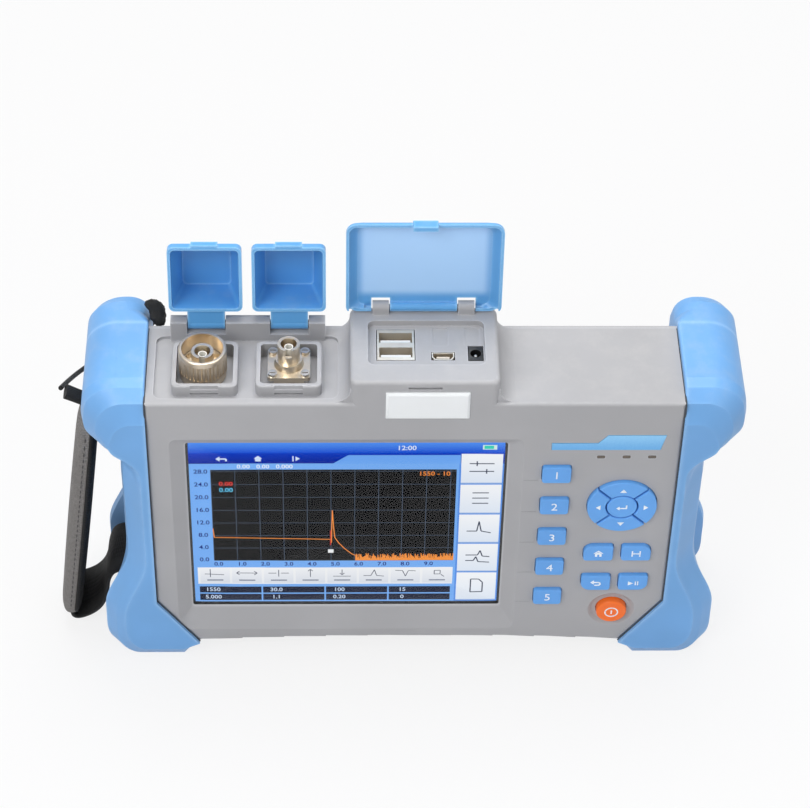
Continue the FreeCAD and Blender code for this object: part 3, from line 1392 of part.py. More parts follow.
def flange_adapter():
    """Square flange adapter on its seat, with a stepped collar and a keyed barrel."""
    x, y = PORT_RIGHT_X, ADAPTER_AT
    low = Z_CURB_FLOOR
    under = low + FLANGE_LIFT
    top = under + FLANGE_THICK
    half = FLANGE_SIZE / 2
    plate = level_plate(x - half, x + half, y - half, y + half, 1.2, under, top)
    seat = block(x - half + 2, x + half - 2, y - half + 1, y + half - 1, low, under)
    stem = rod_z(STEM_RADIUS, Z_TOP - DECK_THICK - 3, low + 1, x, y)
    collar = Part.makeCone(COLLAR_RADIUS, COLLAR_RADIUS - 0.6, COLLAR_HEIGHT, V(x, y, top))
    z0, z1 = flange_sleeve_span()
    hub = keyed_barrel(x, y, low, z0 + SLEEVE_SEAT, top + BARREL_LENGTH)
    body = joined([plate, seat, stem, collar])
    body = body.cut(rod_z(BARREL_RADIUS - 0.5, low + 2, top + BARREL_LENGTH, x, y))
    body = joined([body, hub])
    body = body.cut(rod_z(SLEEVE_RADIUS, z0, z1 + 9, x, y))
    for spot in flange_hole_places():
        body = body.cut(rod_z(SCREW_RADIUS + 0.05, low - 1, top + 1, *spot))
    return body


def flange_sleeve_span():
    top = Z_CURB_FLOOR + FLANGE_LIFT + FLANGE_THICK + BARREL_LENGTH - 1.5
    return top - SLEEVE_LENGTH, top


def ferrule_sleeves():
    """The two ceramic sleeves that line the ferrules up."""
    made = []
    for x, (z0, z1) in ((OTDR_X, sleeve_span()), (PORT_RIGHT_X, flange_sleeve_span())):
        sleeve = rod_z(SLEEVE_RADIUS, z0, z1, x, ADAPTER_AT)
        made.append(sleeve.cut(rod_z(FERRULE_BORE, z0 + 0.8, z1 + 1, x, ADAPTER_AT)))
    return Part.makeCompound(made)


def flange_screws():
    top = Z_CURB_FLOOR + FLANGE_LIFT + FLANGE_THICK
    made = []
    for x, y in flange_hole_places():
        shank = rod_z(SCREW_RADIUS, Z_CURB_FLOOR, top, x, y)
        head = rod_z(SCREW_HEAD, top, top + SCREW_HEAD_HIGH, x, y)
        slot = block(x - SCREW_SLOT_REACH, x + SCREW_SLOT_REACH,
                     y - SCREW_SLOT_WIDTH / 2, y + SCREW_SLOT_WIDTH / 2,
                     top + SCREW_HEAD_HIGH - SCREW_SLOT_DEPTH, top + 2 * SCREW_HEAD_HIGH)
        made.append(joined([shank, head]).cut(slot))
    return Part.makeCompound(made)


# ---------------------------------------------------------------- data sockets
def port_board_z():
    return Z_DISH - USB_DEPTH


def port_board():
    z = port_board_z()
    return block(
        BLOCK_LEFT + WALL + 1, BLOCK_RIGHT - WALL - 1, Y_FACE + DISH_FRONT - 1,
        -WALL, z - BOARD, z,
    )


def usb_socket():
    """Two stacked sockets in one folded steel shell."""
    z0 = port_board_z()
    z1 = Z_DISH
    y = Y_FACE + PORT_ROW
    shell = block(USB_X - USB_WIDTH / 2, USB_X + USB_WIDTH / 2, y - USB_STACK / 2,
                  y + USB_STACK / 2, z0, z1)
    for side in (-1, 1):
        centre = y + side * USB_SLOT_PITCH / 2
        shell = shell.cut(
            block(USB_X - USB_SLOT_WIDTH / 2, USB_X + USB_SLOT_WIDTH / 2, centre - USB_SLOT / 2,
                  centre + USB_SLOT / 2, z0 + 2, z1 + 1)
        )
    return shell


def usb_tongues():
    z0 = port_board_z()
    y = Y_FACE + PORT_ROW
    made = []
    for side in (-1, 1):
        centre = y + side * USB_SLOT_PITCH / 2 - USB_TONGUE_BACK
        made.append(
            block(USB_X - USB_TONGUE_WIDTH / 2, USB_X + USB_TONGUE_WIDTH / 2,
                  centre - USB_TONGUE_THICK / 2, centre + USB_TONGUE_THICK / 2,
                  z0 + USB_TONGUE_FOOT, Z_DISH - USB_TONGUE_SINK)
        )
    return Part.makeCompound(made)


def mini_usb_socket():
    """Small five-sided socket with its inner tongue."""
    z1 = Z_DISH
    z0 = z1 - MINI_DEPTH
    y = Y_FACE + MINI_ROW

    def profile(shrink, low, high):
        half_w = MINI_WIDTH / 2 - shrink
        half_h = MINI_HEIGHT / 2 - shrink
        points = [
            (MINI_X - half_w, y + half_h), (MINI_X - half_w, y - half_h * MINI_SLOPE_UP),
            (MINI_X - half_w * MINI_SLOPE_IN, y - half_h),
            (MINI_X + half_w * MINI_SLOPE_IN, y - half_h),
            (MINI_X + half_w, y - half_h * MINI_SLOPE_UP), (MINI_X + half_w, y + half_h),
        ]
        return polygon_face(points, on_top, low).extrude(V(0, 0, high - low))

    shell = profile(0, z0, z1).cut(profile(SHELL, z0 + 1, z1 + 1))
    tongue = block(MINI_X - MINI_TONGUE_WIDTH / 2, MINI_X + MINI_TONGUE_WIDTH / 2,
                   y - MINI_TONGUE_FRONT, y + MINI_TONGUE_REAR, z0 + MINI_WEB, z1 - 1)
    leg = block(MINI_X - MINI_LEG, MINI_X + MINI_LEG, y - 1, y + 1, port_board_z(),
                z0 + MINI_WEB)
    return joined([shell, tongue, leg])


def dc_jack():
    z0 = port_board_z()
    y = Y_FACE + JACK_ROW
    body = block(JACK_X - JACK_WIDTH / 2, JACK_X + JACK_WIDTH / 2, y - JACK_LENGTH / 2,
                 y + JACK_LENGTH / 2, z0, Z_DISH)
    return body.cut(rod_z(JACK_BORE, Z_DISH - JACK_DEPTH, Z_DISH + 1, JACK_X, y))


def dc_jack_pin():
    pin = rod_z(JACK_PIN, Z_DISH - JACK_DEPTH, Z_DISH - 1, JACK_X, Y_FACE + JACK_ROW)
    return pin.makeFillet(0.3, edges_at(pin, "Z", Z_DISH - 1))


# ------------------------------------------------------- modules inside the case
def optical_module():
    """Screened laser and detector unit on the main board, below the two adapters."""
    top = Z_TOP - DECK_THICK - 3
    high = Z_LOW + MAIN_BOARD_TOP - OPTICS_DROP
    body = face_plate(OPTICS_LEFT, OPTICS_LEFT + OPTICS_WIDTH, high - OPTICS_HEIGHT, high,
                      OPTICS_ROUND, Y_OPTICS, Y_OPTICS + OPTICS_DEPTH)
    over = Z_LOW + MAIN_BOARD_TOP + FEED_CLEAR
    pieces = [body]
    for x in (OTDR_X, PORT_RIGHT_X):
        half = FEED_WIDTH / 2
        pieces.append(rod_z(half, over, top, x, ADAPTER_AT))
        pieces.append(block(x - half, x + half, ADAPTER_AT - half, Y_OPTICS + half, over,
                            over + half))
        pieces.append(block(x - half, x + half, Y_OPTICS, Y_OPTICS + half,
                            high - OPTICS_ROUND, over + half))
    return joined(pieces)


def fibre_spool():
    """Launch fibre wound on a flat bobbin."""
    x = OPTICS_LEFT + OPTICS_WIDTH + SPOOL_OFF + SPOOL_RADIUS
    z = Z_LOW + MAIN_BOARD_TOP - SPOOL_RADIUS - SPOOL_DROP
    back = Y_OPTICS + SPOOL_DEPTH
    spool = rod_y(SPOOL_RADIUS, Y_OPTICS, back, x, z)
    waist = rod_y(SPOOL_RADIUS + 1, Y_OPTICS + SPOOL_FLANGE, back - SPOOL_FLANGE, x, z)
    waist = waist.cut(rod_y(SPOOL_RADIUS - SPOOL_WIND, Y_OPTICS, back, x, z))
    return spool.cut(waist).cut(rod_y(SPOOL_BORE, Y_OPTICS - 1, Y_BACK, x, z))


def battery_pack():
    rect = battery_rect(0)
    y1 = Y_DOOR - BATTERY_GAP
    pack = face_plate(*rect, 2, y1 - BATTERY_THICK + BATTERY_GAP, y1)
    return pack


def battery_door():
    """Ribbed door over the battery, held by two screws."""
    rect = battery_rect(DOOR_LAP - DOOR_GAP)
    door = face_plate(*rect, DOOR_ROUND, Y_DOOR, Y_BACK)
    pitch = BATTERY_HEIGHT / (DOOR_GROOVES + 1)
    half = DOOR_GROOVE_WIDTH / 2
    low = battery_rect(0)[2]
    for number in range(DOOR_GROOVES):
        z = low + pitch * (number + 1)
        door = door.cut(
            face_plate(-half, half, z - DOOR_GROOVE, z + DOOR_GROOVE, DOOR_GROOVE * 0.8,
                       Y_BACK - DOOR_GROOVE_DEPTH, Y_BACK + 1)
        )
    for x, z in door_screw_places():
        door = door.cut(rod_y(BOSS_BORE + SCREW_GAP, Y_DOOR - 1, Y_BACK + 1, x, z))
        door = door.cut(
            rod_y(DOOR_SCREW_HEAD + SCREW_GAP, Y_BACK - DOOR_SCREW_SEAT, Y_BACK + 1, x, z)
        )
    return door


def door_screws():
    made = []
    for x, z in door_screw_places():
        seat = Y_BACK - DOOR_SCREW_SEAT
        shank = rod_y(BOSS_BORE, Y_DOOR - DOOR_SCREW_REACH, seat, x, z)
        head = rod_y(DOOR_SCREW_HEAD, seat, Y_BACK - SCREW_GAP / 2, x, z)
        reach = DOOR_SCREW_HEAD + SCREW_GAP
        slot = block(x - reach, x + reach, seat + DOOR_SCREW_SEAT / 2, Y_BACK + 1,
                     z - SCREW_SLOT, z + SCREW_SLOT)
        made.append(joined([shank, head]).cut(slot))
    return Part.makeCompound(made)


def case_screws():
    made = []
    for x, z in boss_places():
        top = CASE_SCREW_SEAT + CASE_SCREW_RISE
        shank = rod_y(BOSS_BORE, Y_INNER + CASE_SCREW_REACH, CASE_SCREW_SEAT, x, z)
        head = rod_y(CASE_SCREW_HEAD, CASE_SCREW_SEAT, top, x, z)
        screw = joined([shank, head])
        for wide, tall in ((CROSS_REACH, SCREW_SLOT), (SCREW_SLOT, CROSS_REACH)):
            screw = screw.cut(
                block(x - wide, x + wide, top - CROSS_DEPTH, top + 1, z - tall, z + tall)
            )
        made.append(screw)
    return Part.makeCompound(made)


# ------------------------------------------------------------------ tilt stand
def stand_axis():
    return Y_BACK - STAND_THICK / 2, Z_LOW + STAND_TOP_RISE - STAND_THICK / 2


def stand_pin(grow):
    y, z = stand_axis()
    half = STAND_WIDTH / 2 + STAND_GAP + 1.6
    return rod_x(STAND_PIN + grow, -half, half, y, z)


def tilt_stand():
    """Flap that swings out behind the case and props it up."""
    left, right, low, high = stand_rect(0)
    y, z = stand_axis()
    plate = face_plate(left, right, low, z + STAND_THICK, STAND_ROUND, Y_BACK - STAND_THICK,
                       Y_BACK)
    plate = plate.cut(block(left - 1, right + 1, 0, Y_BACK + 1, z, z + 2 * STAND_THICK))
    barrel = rod_x(STAND_THICK / 2, left, right, y, z)
    body = joined([plate, barrel])
    ribs = [
        face_plate(x - STAND_RIB / 2, x + STAND_RIB / 2, low + 5, z - 4, 0.3,
                   Y_BACK - STAND_THICK + 1, Y_BACK - 0.4)
        for x in (-STAND_RIB_STEP, 0, STAND_RIB_STEP)
    ]
    body = body.cut(
        face_plate(left + STAND_LUG + STAND_PANEL_IN, right - STAND_LUG - STAND_PANEL_IN,
                   low + STAND_PANEL_LOW, z - STAND_PANEL_TOP, 2,
                   Y_BACK - STAND_PANEL_SINK, Y_BACK + 1)
    )
    return joined([body] + ribs).cut(stand_pin(PIN_GAP))


# ----------------------------------------------------------------------- strap
def strap_middle():
    """Middle of the strap's width."""
    return Y_FACE + PAD_FRONT + PAD_WIDTH / 2


def pad_out(z):
    """How far out the pad stands at one height."""
    share = (PAD_TOP_Z - z) / (PAD_TOP_Z - PAD_LOW_Z)
    return PAD_TOP_OUT + (PAD_LOW_OUT - PAD_TOP_OUT) * share


def strap_pad():
    """Padded sleeve for the back of the hand, drawn in at its head."""
    sections = []
    for share, thick, width in (
        (0, 0.6, 0.97), (0.1, 0.9, 1.0), (0.3, 1.0, 1.0), (0.7, 1.0, 1.0), (0.88, 0.85, 0.95),
        (1, 0.5, 0.5),
    ):
        z = PAD_LOW_Z + (PAD_TOP_Z - PAD_LOW_Z) * share
        half_t = PAD_THICK * thick / 2
        half_w = PAD_WIDTH * width / 2
        x = -pad_out(z)
        y = strap_middle()
        sections.append(
            rounded_wire(x - half_t, x + half_t, y - half_w, y + half_w, (half_t * 0.8,) * 4,
                         on_top, z)
        )
    return Part.makeLoft(sections, True, True)


def strap_slot(grow):
    """Pocket in the side of the left grip for the lower end of the strap."""
    surface = -(HALF + WAIST_REACH)
    y = strap_middle()
    half_w = WEBBING_WIDTH / 2 + grow
    half_t = WEBBING / 2 + grow
    return block(surface - 6, surface + STRAP_SLOT_DEPTH, y - half_w, y + half_w,
                 STRAP_SLOT_Z - half_t, STRAP_SLOT_Z + half_t)


def rounded_path(points, share):
    """Straight runs joined by tangent arcs that use a share of the shorter run."""
    edges = []
    at = points[0]
    for before, corner, after in zip(points, points[1:], points[2:]):
        into = corner.sub(before)
        out = after.sub(corner)
        turn = into.getAngle(out)
        setback = share * min(into.Length, out.Length)
        start = corner.sub(V(into).normalize().multiply(setback))
        end = corner.add(V(out).normalize().multiply(setback))
        radius = setback / math.tan(turn / 2)
        bisector = start.add(end).multiply(0.5).sub(corner)
        depth = radius / math.cos(turn / 2) - radius
        middle = corner.add(V(bisector).normalize().multiply(depth))
        edges.append(Part.makeLine(at, start))
        edges.append(Part.Arc(start, middle, end).toShape())
        at = end
    edges.append(Part.makeLine(at, points[-1]))
    return Part.Wire(edges)


def strap_webbing():
    """Flat tail of the strap: under the pad, up the side of the grip, into its slot."""
    y = strap_middle()
    x_foot = -pad_out(PAD_LOW_Z)
    x_slot = -(HALF + WAIST_REACH)
    top = PAD_LOW_Z - STRAP_GAP
    points = [V(x_foot, y, top), V(x_foot, y, PAD_LOW_Z - WEBBING_DIP)]
    points += [V(x_slot - out, y, PAD_LOW_Z + up) for out, up in WEBBING_RISE]
    points += [V(x_slot - out, y, STRAP_SLOT_Z - down) for out, down in WEBBING_TURN]
    points.append(V(x_slot + STRAP_SLOT_DEPTH - STRAP_GAP, y, STRAP_SLOT_Z))
    half_t = WEBBING / 2
    half_w = WEBBING_WIDTH / 2
    section = rounded_wire(x_foot - half_t, x_foot + half_t, y - half_w, y + half_w,
                           (half_t * 0.6,) * 4, on_top, top)
    return rounded_path(points, 0.49).makePipeShell([section], True, False)


def tab_points():
    """Route of the loop of tape at the head of the pad."""
    x = -pad_out(PAD_TOP_Z)
    y = strap_middle()
    return [V(x - out, y, PAD_TOP_Z + up) for out, up in LOOP_ROUTE]


def strap_loop():
    """Short doubled tape at the head of the pad that holds the cord."""
    points = tab_points()
    half_t = LOOP_THICK / 2
    half_w = LOOP_WIDTH / 2
    start = points[0]
    section = rounded_wire(start.x - half_t, start.x + half_t, start.y - half_w,
                           start.y + half_w, (half_t * 0.7,) * 4, on_top, start.z)
    return rounded_path(points, 0.49).makePipeShell([section], True, False)


def shoulder(y):
    """Height of the rear shell's sloped shoulder."""
    return Z_TOP - (y - (Y_BACK - BACK_SLOPE))


def uphill(along, over):
    """A point beside the keeper: so far down the slope from its middle and so far over it."""
    middle = Y_BACK - BACK_SLOPE + 2.0
    share = math.sqrt(0.5)
    return middle + (along + over) * share, shoulder(middle) + (over - along) * share


def strap_keeper():
    """Folded tape with its clasp, which holds the cord on the shoulder of the case."""
    left = -HALF
    half = KEEPER_LENGTH / 2
    spots = []
    for out, over in KEEPER_OUTLINE:
        y, z = uphill(-half, over)
        spots.append(V(left - out, y, z))
    run = math.sqrt(0.5) * KEEPER_LENGTH
    face = Part.Face(Part.makePolygon(spots + spots[:1]))
    body = face.extrude(V(0, run, -run))
    y, z = uphill(0, 0)
    groove = block(left - 3, left + 9, -KEEPER_GROOVE / 2, KEEPER_GROOVE / 2, KEEPER_GROOVE_LOW,
                   11)
    groove.rotate(V(0, 0, 0), V(1, 0, 0), -45)
    groove.translate(V(0, y, z))
    return body.cut(groove)


def cord_points():
    """Route of the cord from the tape loop, round behind the bumper, to its keeper."""
    behind = Y_BACK + BUMPER_TAIL + CORD_RADIUS + CORD_CLEAR
    start = tab_points()[-1]
    depth = behind - start.y
    y_end, z_end = uphill(KEEPER_LENGTH / 2 + CORD_GAP, CORD_OVER)
    y_run, z_run = uphill(KEEPER_LENGTH / 2 + CORD_RUN, CORD_OVER)
    x_in = -HALF + CORD_IN
    route = [
        V(start.x + out, start.y + share * depth, start.z + up) for out, share, up in CORD_ROUTE
    ]
    return route + [V(x_in, y_run, z_run), V(x_in, y_end, z_end)]


def strap_cord():
    points = cord_points()
    path = rounded_path(points, 0.45)
    heading = points[1].sub(points[0])
    circle = Part.Wire(Part.makeCircle(CORD_RADIUS, points[0], heading))
    return path.makePipeShell([circle], True, True)


NODES = {}
for bumper_name, bumper_shape in (("front", front_bumper()), ("rear", rear_bumper())):
    NODES["right_" + bumper_name + "_bumper"] = bumper_shape
    NODES["left_" + bumper_name + "_bumper"] = mirror_x(bumper_shape)
NODES["front_housing"] = front_housing()
NODES["rear_housing"] = rear_housing()
NODES["display_lens"] = display_lens()
NODES["lcd_panel"] = lcd_panel()
NODES["lcd_bracket"] = lcd_bracket()
NODES["main_board"] = main_board()
NODES["keypad_board"] = keypad_board()
NODES["keypad_mat"] = keypad_mat()
NODES.update(keys())
NODES["lamp_pipes"] = lamp_pipes()
NODES["stripe_overlay"] = stripe_overlay()
NODES["name_plate"] = name_plate()
NODES["otdr_port_cover"] = opened(small_cover(PORT_LEFT_X), COVER_OPEN, HINGE_Y, HINGE_Z)
NODES["source_port_cover"] = opened(small_cover(PORT_RIGHT_X), COVER_OPEN, HINGE_Y, HINGE_Z)
NODES["data_cover"] = opened(data_cover(), LID_OPEN, LID_AXIS_Y, LID_AXIS_Z)
NODES["port_cover_pins"] = port_cover_pins()
NODES["data_cover_pin"] = data_cover_pin()
NODES["otdr_port_base"] = otdr_port_base()
NODES["otdr_ring"] = otdr_ring()
NODES["flange_adapter"] = flange_adapter()
NODES["ferrule_sleeves"] = ferrule_sleeves()
NODES["flange_screws"] = flange_screws()
NODES["port_board"] = port_board()
NODES["usb_socket"] = usb_socket()
NODES["usb_tongues"] = usb_tongues()
NODES["mini_usb_socket"] = mini_usb_socket()
NODES["dc_jack"] = dc_jack()
NODES["dc_jack_pin"] = dc_jack_pin()
NODES["optical_module"] = optical_module()
NODES["fibre_spool"] = fibre_spool()
NODES["battery_pack"] = battery_pack()
NODES["battery_door"] = battery_door()
NODES["door_screws"] = door_screws()
NODES["case_screws"] = case_screws()
NODES["tilt_stand"] = tilt_stand()
NODES["stand_pin"] = stand_pin(0)
NODES["strap_pad"] = strap_pad()
NODES["strap_webbing"] = strap_webbing()
NODES["strap_cord"] = strap_cord()
NODES["strap_loop"] = strap_loop()
NODES["strap_keeper"] = strap_keeper()
NODES["left_front_bumper"] = NODES["left_front_bumper"].cut(strap_slot(STRAP_GAP))
NODES["left_rear_bumper"] = NODES["left_rear_bumper"].cut(strap_slot(STRAP_GAP))

for node_name, node_shape in NODES.items():
    save(node_name, node_shape)
print(len(NODES), "sub-parts")
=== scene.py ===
# %% [markdown]
# # A handheld optical time domain reflectometer
# A field engineer hangs this tester on one hand and plugs a fibre into its top.
# The machined model comes in first and stays as it is.  Blender adds what a
# machined model can't show: rubber, moulded grain, knurled nickel, cloth, the
# printed symbols and the picture on the display.

# %% Load the machined model
import math

import bpy
import numpy as np
from mathutils import Matrix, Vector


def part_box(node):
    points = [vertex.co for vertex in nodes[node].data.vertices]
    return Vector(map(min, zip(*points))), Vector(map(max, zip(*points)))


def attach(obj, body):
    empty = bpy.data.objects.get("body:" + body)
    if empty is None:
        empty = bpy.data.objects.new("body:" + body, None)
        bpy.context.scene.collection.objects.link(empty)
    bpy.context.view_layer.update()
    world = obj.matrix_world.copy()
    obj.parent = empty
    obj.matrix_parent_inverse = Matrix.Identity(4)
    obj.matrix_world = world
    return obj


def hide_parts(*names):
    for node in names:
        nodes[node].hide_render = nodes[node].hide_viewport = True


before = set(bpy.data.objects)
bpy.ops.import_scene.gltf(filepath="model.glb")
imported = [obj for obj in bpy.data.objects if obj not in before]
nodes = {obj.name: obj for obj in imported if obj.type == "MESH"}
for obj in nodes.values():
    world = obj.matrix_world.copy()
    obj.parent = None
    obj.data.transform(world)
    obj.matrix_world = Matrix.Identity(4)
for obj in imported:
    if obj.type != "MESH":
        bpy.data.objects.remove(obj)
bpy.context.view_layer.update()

# %% [markdown]
# ## The camera
# The tester is seen from in front and above, a little from the left, through a
# long lens.  Two ways to aim a camera are a tracking constraint and three written
# directions.  The directions are used, because they also hold the slight roll.

# %% Aim the camera
camera_data = bpy.data.cameras.new("front_camera")
camera_data.sensor_fit = "HORIZONTAL"
camera_data.sensor_width = 36.0
camera_data.lens = 125.69
camera_data.clip_start = 0.05
camera_data.clip_end = 20.0
camera = bpy.data.objects.new("front_camera", camera_data)
bpy.context.scene.collection.objects.link(camera)
bpy.context.scene.camera = camera

looks_right = (0.99968181, -0.01842135, 0.01723177)
looks_up = (0.00071034, 0.70342174, 0.71077236)
looks_forward = (0.02521459, 0.71053396, -0.70321101)
stands_at = (-0.029239, -0.754989, 0.844783)
aim = Matrix.Identity(4)
for row in range(3):
    aim[row][0] = looks_right[row]
    aim[row][1] = looks_up[row]
    aim[row][2] = -looks_forward[row]
    aim[row][3] = stands_at[row]
camera.matrix_world = aim
bpy.context.scene.view_settings.view_transform = "Standard"
print("camera looks down", round(math.degrees(math.asin(-looks_forward[2])), 2), "degrees")

# %% [markdown]
# ## Small helpers for shader nodes
# A finish is a handful of nodes joined by wires.  One helper adds a node, sets
# its sockets and joins whatever is already a socket.  Colours are written as the
# 0 to 255 values of a paint chart and turned to the linear values shaders use.

# %% Add nodes, mix colours
def paint(red, green, blue):
    """Linear colour: each channel is ((c + 0.055) / 1.055) to the power 2.4, or c / 12.92."""
    share = np.array([red, green, blue]) / 255
    linear = np.where(share > 0.04045, ((share + 0.055) / 1.055) ** 2.4, share / 12.92)
    return (*linear.tolist(), 1.0)


def put(tree, kind, inputs=(), **settings):
    """Add a node; a socket given as a value is joined, anything else is set."""
    node = tree.nodes.new(kind)
    for name, value in settings.items():
        setattr(node, name, value)
    for key, value in dict(inputs).items():
        if isinstance(value, bpy.types.NodeSocket):
            tree.links.new(value, node.inputs[key])
        else:
            node.inputs[key].default_value = value
    return node


def reckon(tree, operation, *values):
    """One sum of the shader, such as MULTIPLY, on sockets or numbers."""
    return put(tree, "ShaderNodeMath", dict(enumerate(values)), operation=operation).outputs[0]


def blend_colours(tree, share, first, second):
    """first where share is 0, second where it is 1."""
    node = put(tree, "ShaderNodeMix", {0: share, 6: first, 7: second}, data_type="RGBA")
    return node.outputs[2]


def stepped(tree, value, low, high):
    """0 below low, 1 above high, a smooth ramp between."""
    node = put(tree, "ShaderNodeMapRange", {0: value, 1: low, 2: high, 3: 0.0, 4: 1.0},
               interpolation_type="SMOOTHSTEP")
    return node.outputs[0]


def fresh_material(name):
    """A new material with its shader."""
    material = bpy.data.materials.new(name)
    material.use_nodes = True
    return material, material.node_tree, material.node_tree.nodes["Principled BSDF"]


# %% [markdown]
# ## Effects that several finishes share
# Moulded grain, light edges, dust and weave are used again and again, so each is
# one node group with named inputs and outputs.  Copies of the nodes in every
# material would work too, but a group is mended in one place.

# %% Start a group
def new_group(name, inputs, outputs):
    """A shader group; inputs are (name, value), outputs are (name, socket type)."""
    group = bpy.data.node_groups.new(name, "ShaderNodeTree")
    for label, value in inputs:
        kind = "NodeSocketVector" if isinstance(value, tuple) else "NodeSocketFloat"
        socket = group.interface.new_socket(label, in_out="INPUT", socket_type=kind)
        socket.default_value = value
    for label, kind in outputs:
        group.interface.new_socket(label, in_out="OUTPUT", socket_type=kind)
    enter = group.nodes.new("NodeGroupInput")
    leave = group.nodes.new("NodeGroupOutput")
    return group, enter, leave


def use_group(tree, group, **values):
    """Place a group in a material with its own values."""
    node = tree.nodes.new("ShaderNodeGroup")
    node.node_tree = group
    for name, value in values.items():
        key = name.replace("_", " ").capitalize()
        if isinstance(value, bpy.types.NodeSocket):
            tree.links.new(value, node.inputs[key])
        else:
            node.inputs[key].default_value = value
    return node


# %% [markdown]
# ### Moulded grain
# An injection mould is sparked or etched, which leaves pits a few tenths of a
# millimetre apart.  Two noises do that: fine pits for the height, and a broad
# slow one that lets the colour drift as a real moulding does.

# %% Moulded grain
grain, enter, leave = new_group(
    "moulded grain", [("Pits", 2600.0), ("Drift", 22.0)],
    [("Height", "NodeSocketFloat"), ("Mottle", "NodeSocketFloat")],
)
where = put(grain, "ShaderNodeTexCoord").outputs["Object"]
pits = put(grain, "ShaderNodeTexNoise", {"Vector": where, "Scale": enter.outputs["Pits"],
                                         "Detail": 2.0, "Roughness": 0.6})
drift = put(grain, "ShaderNodeTexNoise", {"Vector": where, "Scale": enter.outputs["Drift"],
                                          "Detail": 3.0, "Roughness": 0.55})
grain.links.new(pits.outputs[0], leave.inputs["Height"])
grain.links.new(stepped(grain, drift.outputs[0], 0.32, 0.68), leave.inputs["Mottle"])
print(grain.name, "has", len(grain.nodes), "nodes")

# %% [markdown]
# ### Lit and worn edges
# Corners that hands and bags rub turn a shade lighter, and the lighter edge is also
# a painted highlight where light catches it.  A Bevel node bends the
# normal near an edge, so its difference from the true normal marks the edge; a
# noise breaks the line up, since wear is never even.

# %% Lit and worn edges, painted highlight and wear
edges, enter, leave = new_group(
    "light edges", [("Width", 0.0012), ("Breaks", 300.0)], [("Mask", "NodeSocketFloat")]
)
rounded = put(edges, "ShaderNodeBevel", {"Radius": enter.outputs["Width"]}, samples=6)
true = put(edges, "ShaderNodeNewGeometry")
agree = put(edges, "ShaderNodeVectorMath",
            {0: rounded.outputs[0], 1: true.outputs["Normal"]}, operation="DOT_PRODUCT")
where = put(edges, "ShaderNodeTexCoord").outputs["Object"]
breaks = put(edges, "ShaderNodeTexNoise",
             {"Vector": where, "Scale": enter.outputs["Breaks"], "Detail": 2.0})
strength = reckon(edges, "MULTIPLY", reckon(edges, "SUBTRACT", 1.0, agree.outputs["Value"]), 5.0)
uneven = reckon(edges, "MULTIPLY", strength, reckon(edges, "ADD", breaks.outputs[0], 0.35))
edges.links.new(reckon(edges, "MINIMUM", uneven, 1.0), leave.inputs["Mask"])
print(edges.name, "has", len(edges.nodes), "nodes")

# %% [markdown]
# ### Dust
# Dust settles on what faces up.  The upward part of the normal times a patchy
# noise gives it, and the finish decides how much of it shows.

# %% Dust
dust, enter, leave = new_group("dust", [("Amount", 0.2)], [("Mask", "NodeSocketFloat")])
facing = put(dust, "ShaderNodeSeparateXYZ",
             {0: put(dust, "ShaderNodeNewGeometry").outputs["Normal"]}).outputs["Z"]
where = put(dust, "ShaderNodeTexCoord").outputs["Object"]
patches = put(dust, "ShaderNodeTexNoise", {"Vector": where, "Scale": 130.0, "Detail": 5.0,
                                           "Roughness": 0.7})
layer = reckon(dust, "MULTIPLY", stepped(dust, facing, 0.2, 1.0),
               stepped(dust, patches.outputs[0], 0.42, 0.75))
dust.links.new(reckon(dust, "MULTIPLY", layer, enter.outputs["Amount"]), leave.inputs["Mask"])
print(dust.name, "has", len(dust.nodes), "nodes")

# %% [markdown]
# ### Plain weave
# In a plain weave each thread passes over one and under the next.  Counting the
# threads both ways and taking odd or even picks which one is on top; each thread
# is a half round, the size of a sine.

# %% Plain weave
weave, enter, leave = new_group(
    "plain weave", [("Vector", (0.0, 0.0, 0.0)), ("Across", 20.0), ("Along", 20.0)],
    [("Height", "NodeSocketFloat")],
)
spread = put(weave, "ShaderNodeSeparateXYZ", {0: enter.outputs["Vector"]})
across = reckon(weave, "MULTIPLY", spread.outputs["X"], enter.outputs["Across"])
along = reckon(weave, "MULTIPLY", spread.outputs["Y"], enter.outputs["Along"])
cells = reckon(weave, "ADD", reckon(weave, "FLOOR", across), reckon(weave, "FLOOR", along))
odd = reckon(weave, "FLOORED_MODULO", cells, 2.0)
warp = reckon(weave, "ABSOLUTE", reckon(weave, "SINE", reckon(weave, "MULTIPLY", across, math.pi)))
weft = reckon(weave, "ABSOLUTE", reckon(weave, "SINE", reckon(weave, "MULTIPLY", along, math.pi)))
on_top = put(weave, "ShaderNodeMix", {0: odd, 2: warp, 3: weft}, data_type="FLOAT").outputs[0]
weave.links.new(on_top, leave.inputs["Height"])
print("groups:", [group.name for group in bpy.data.node_groups])
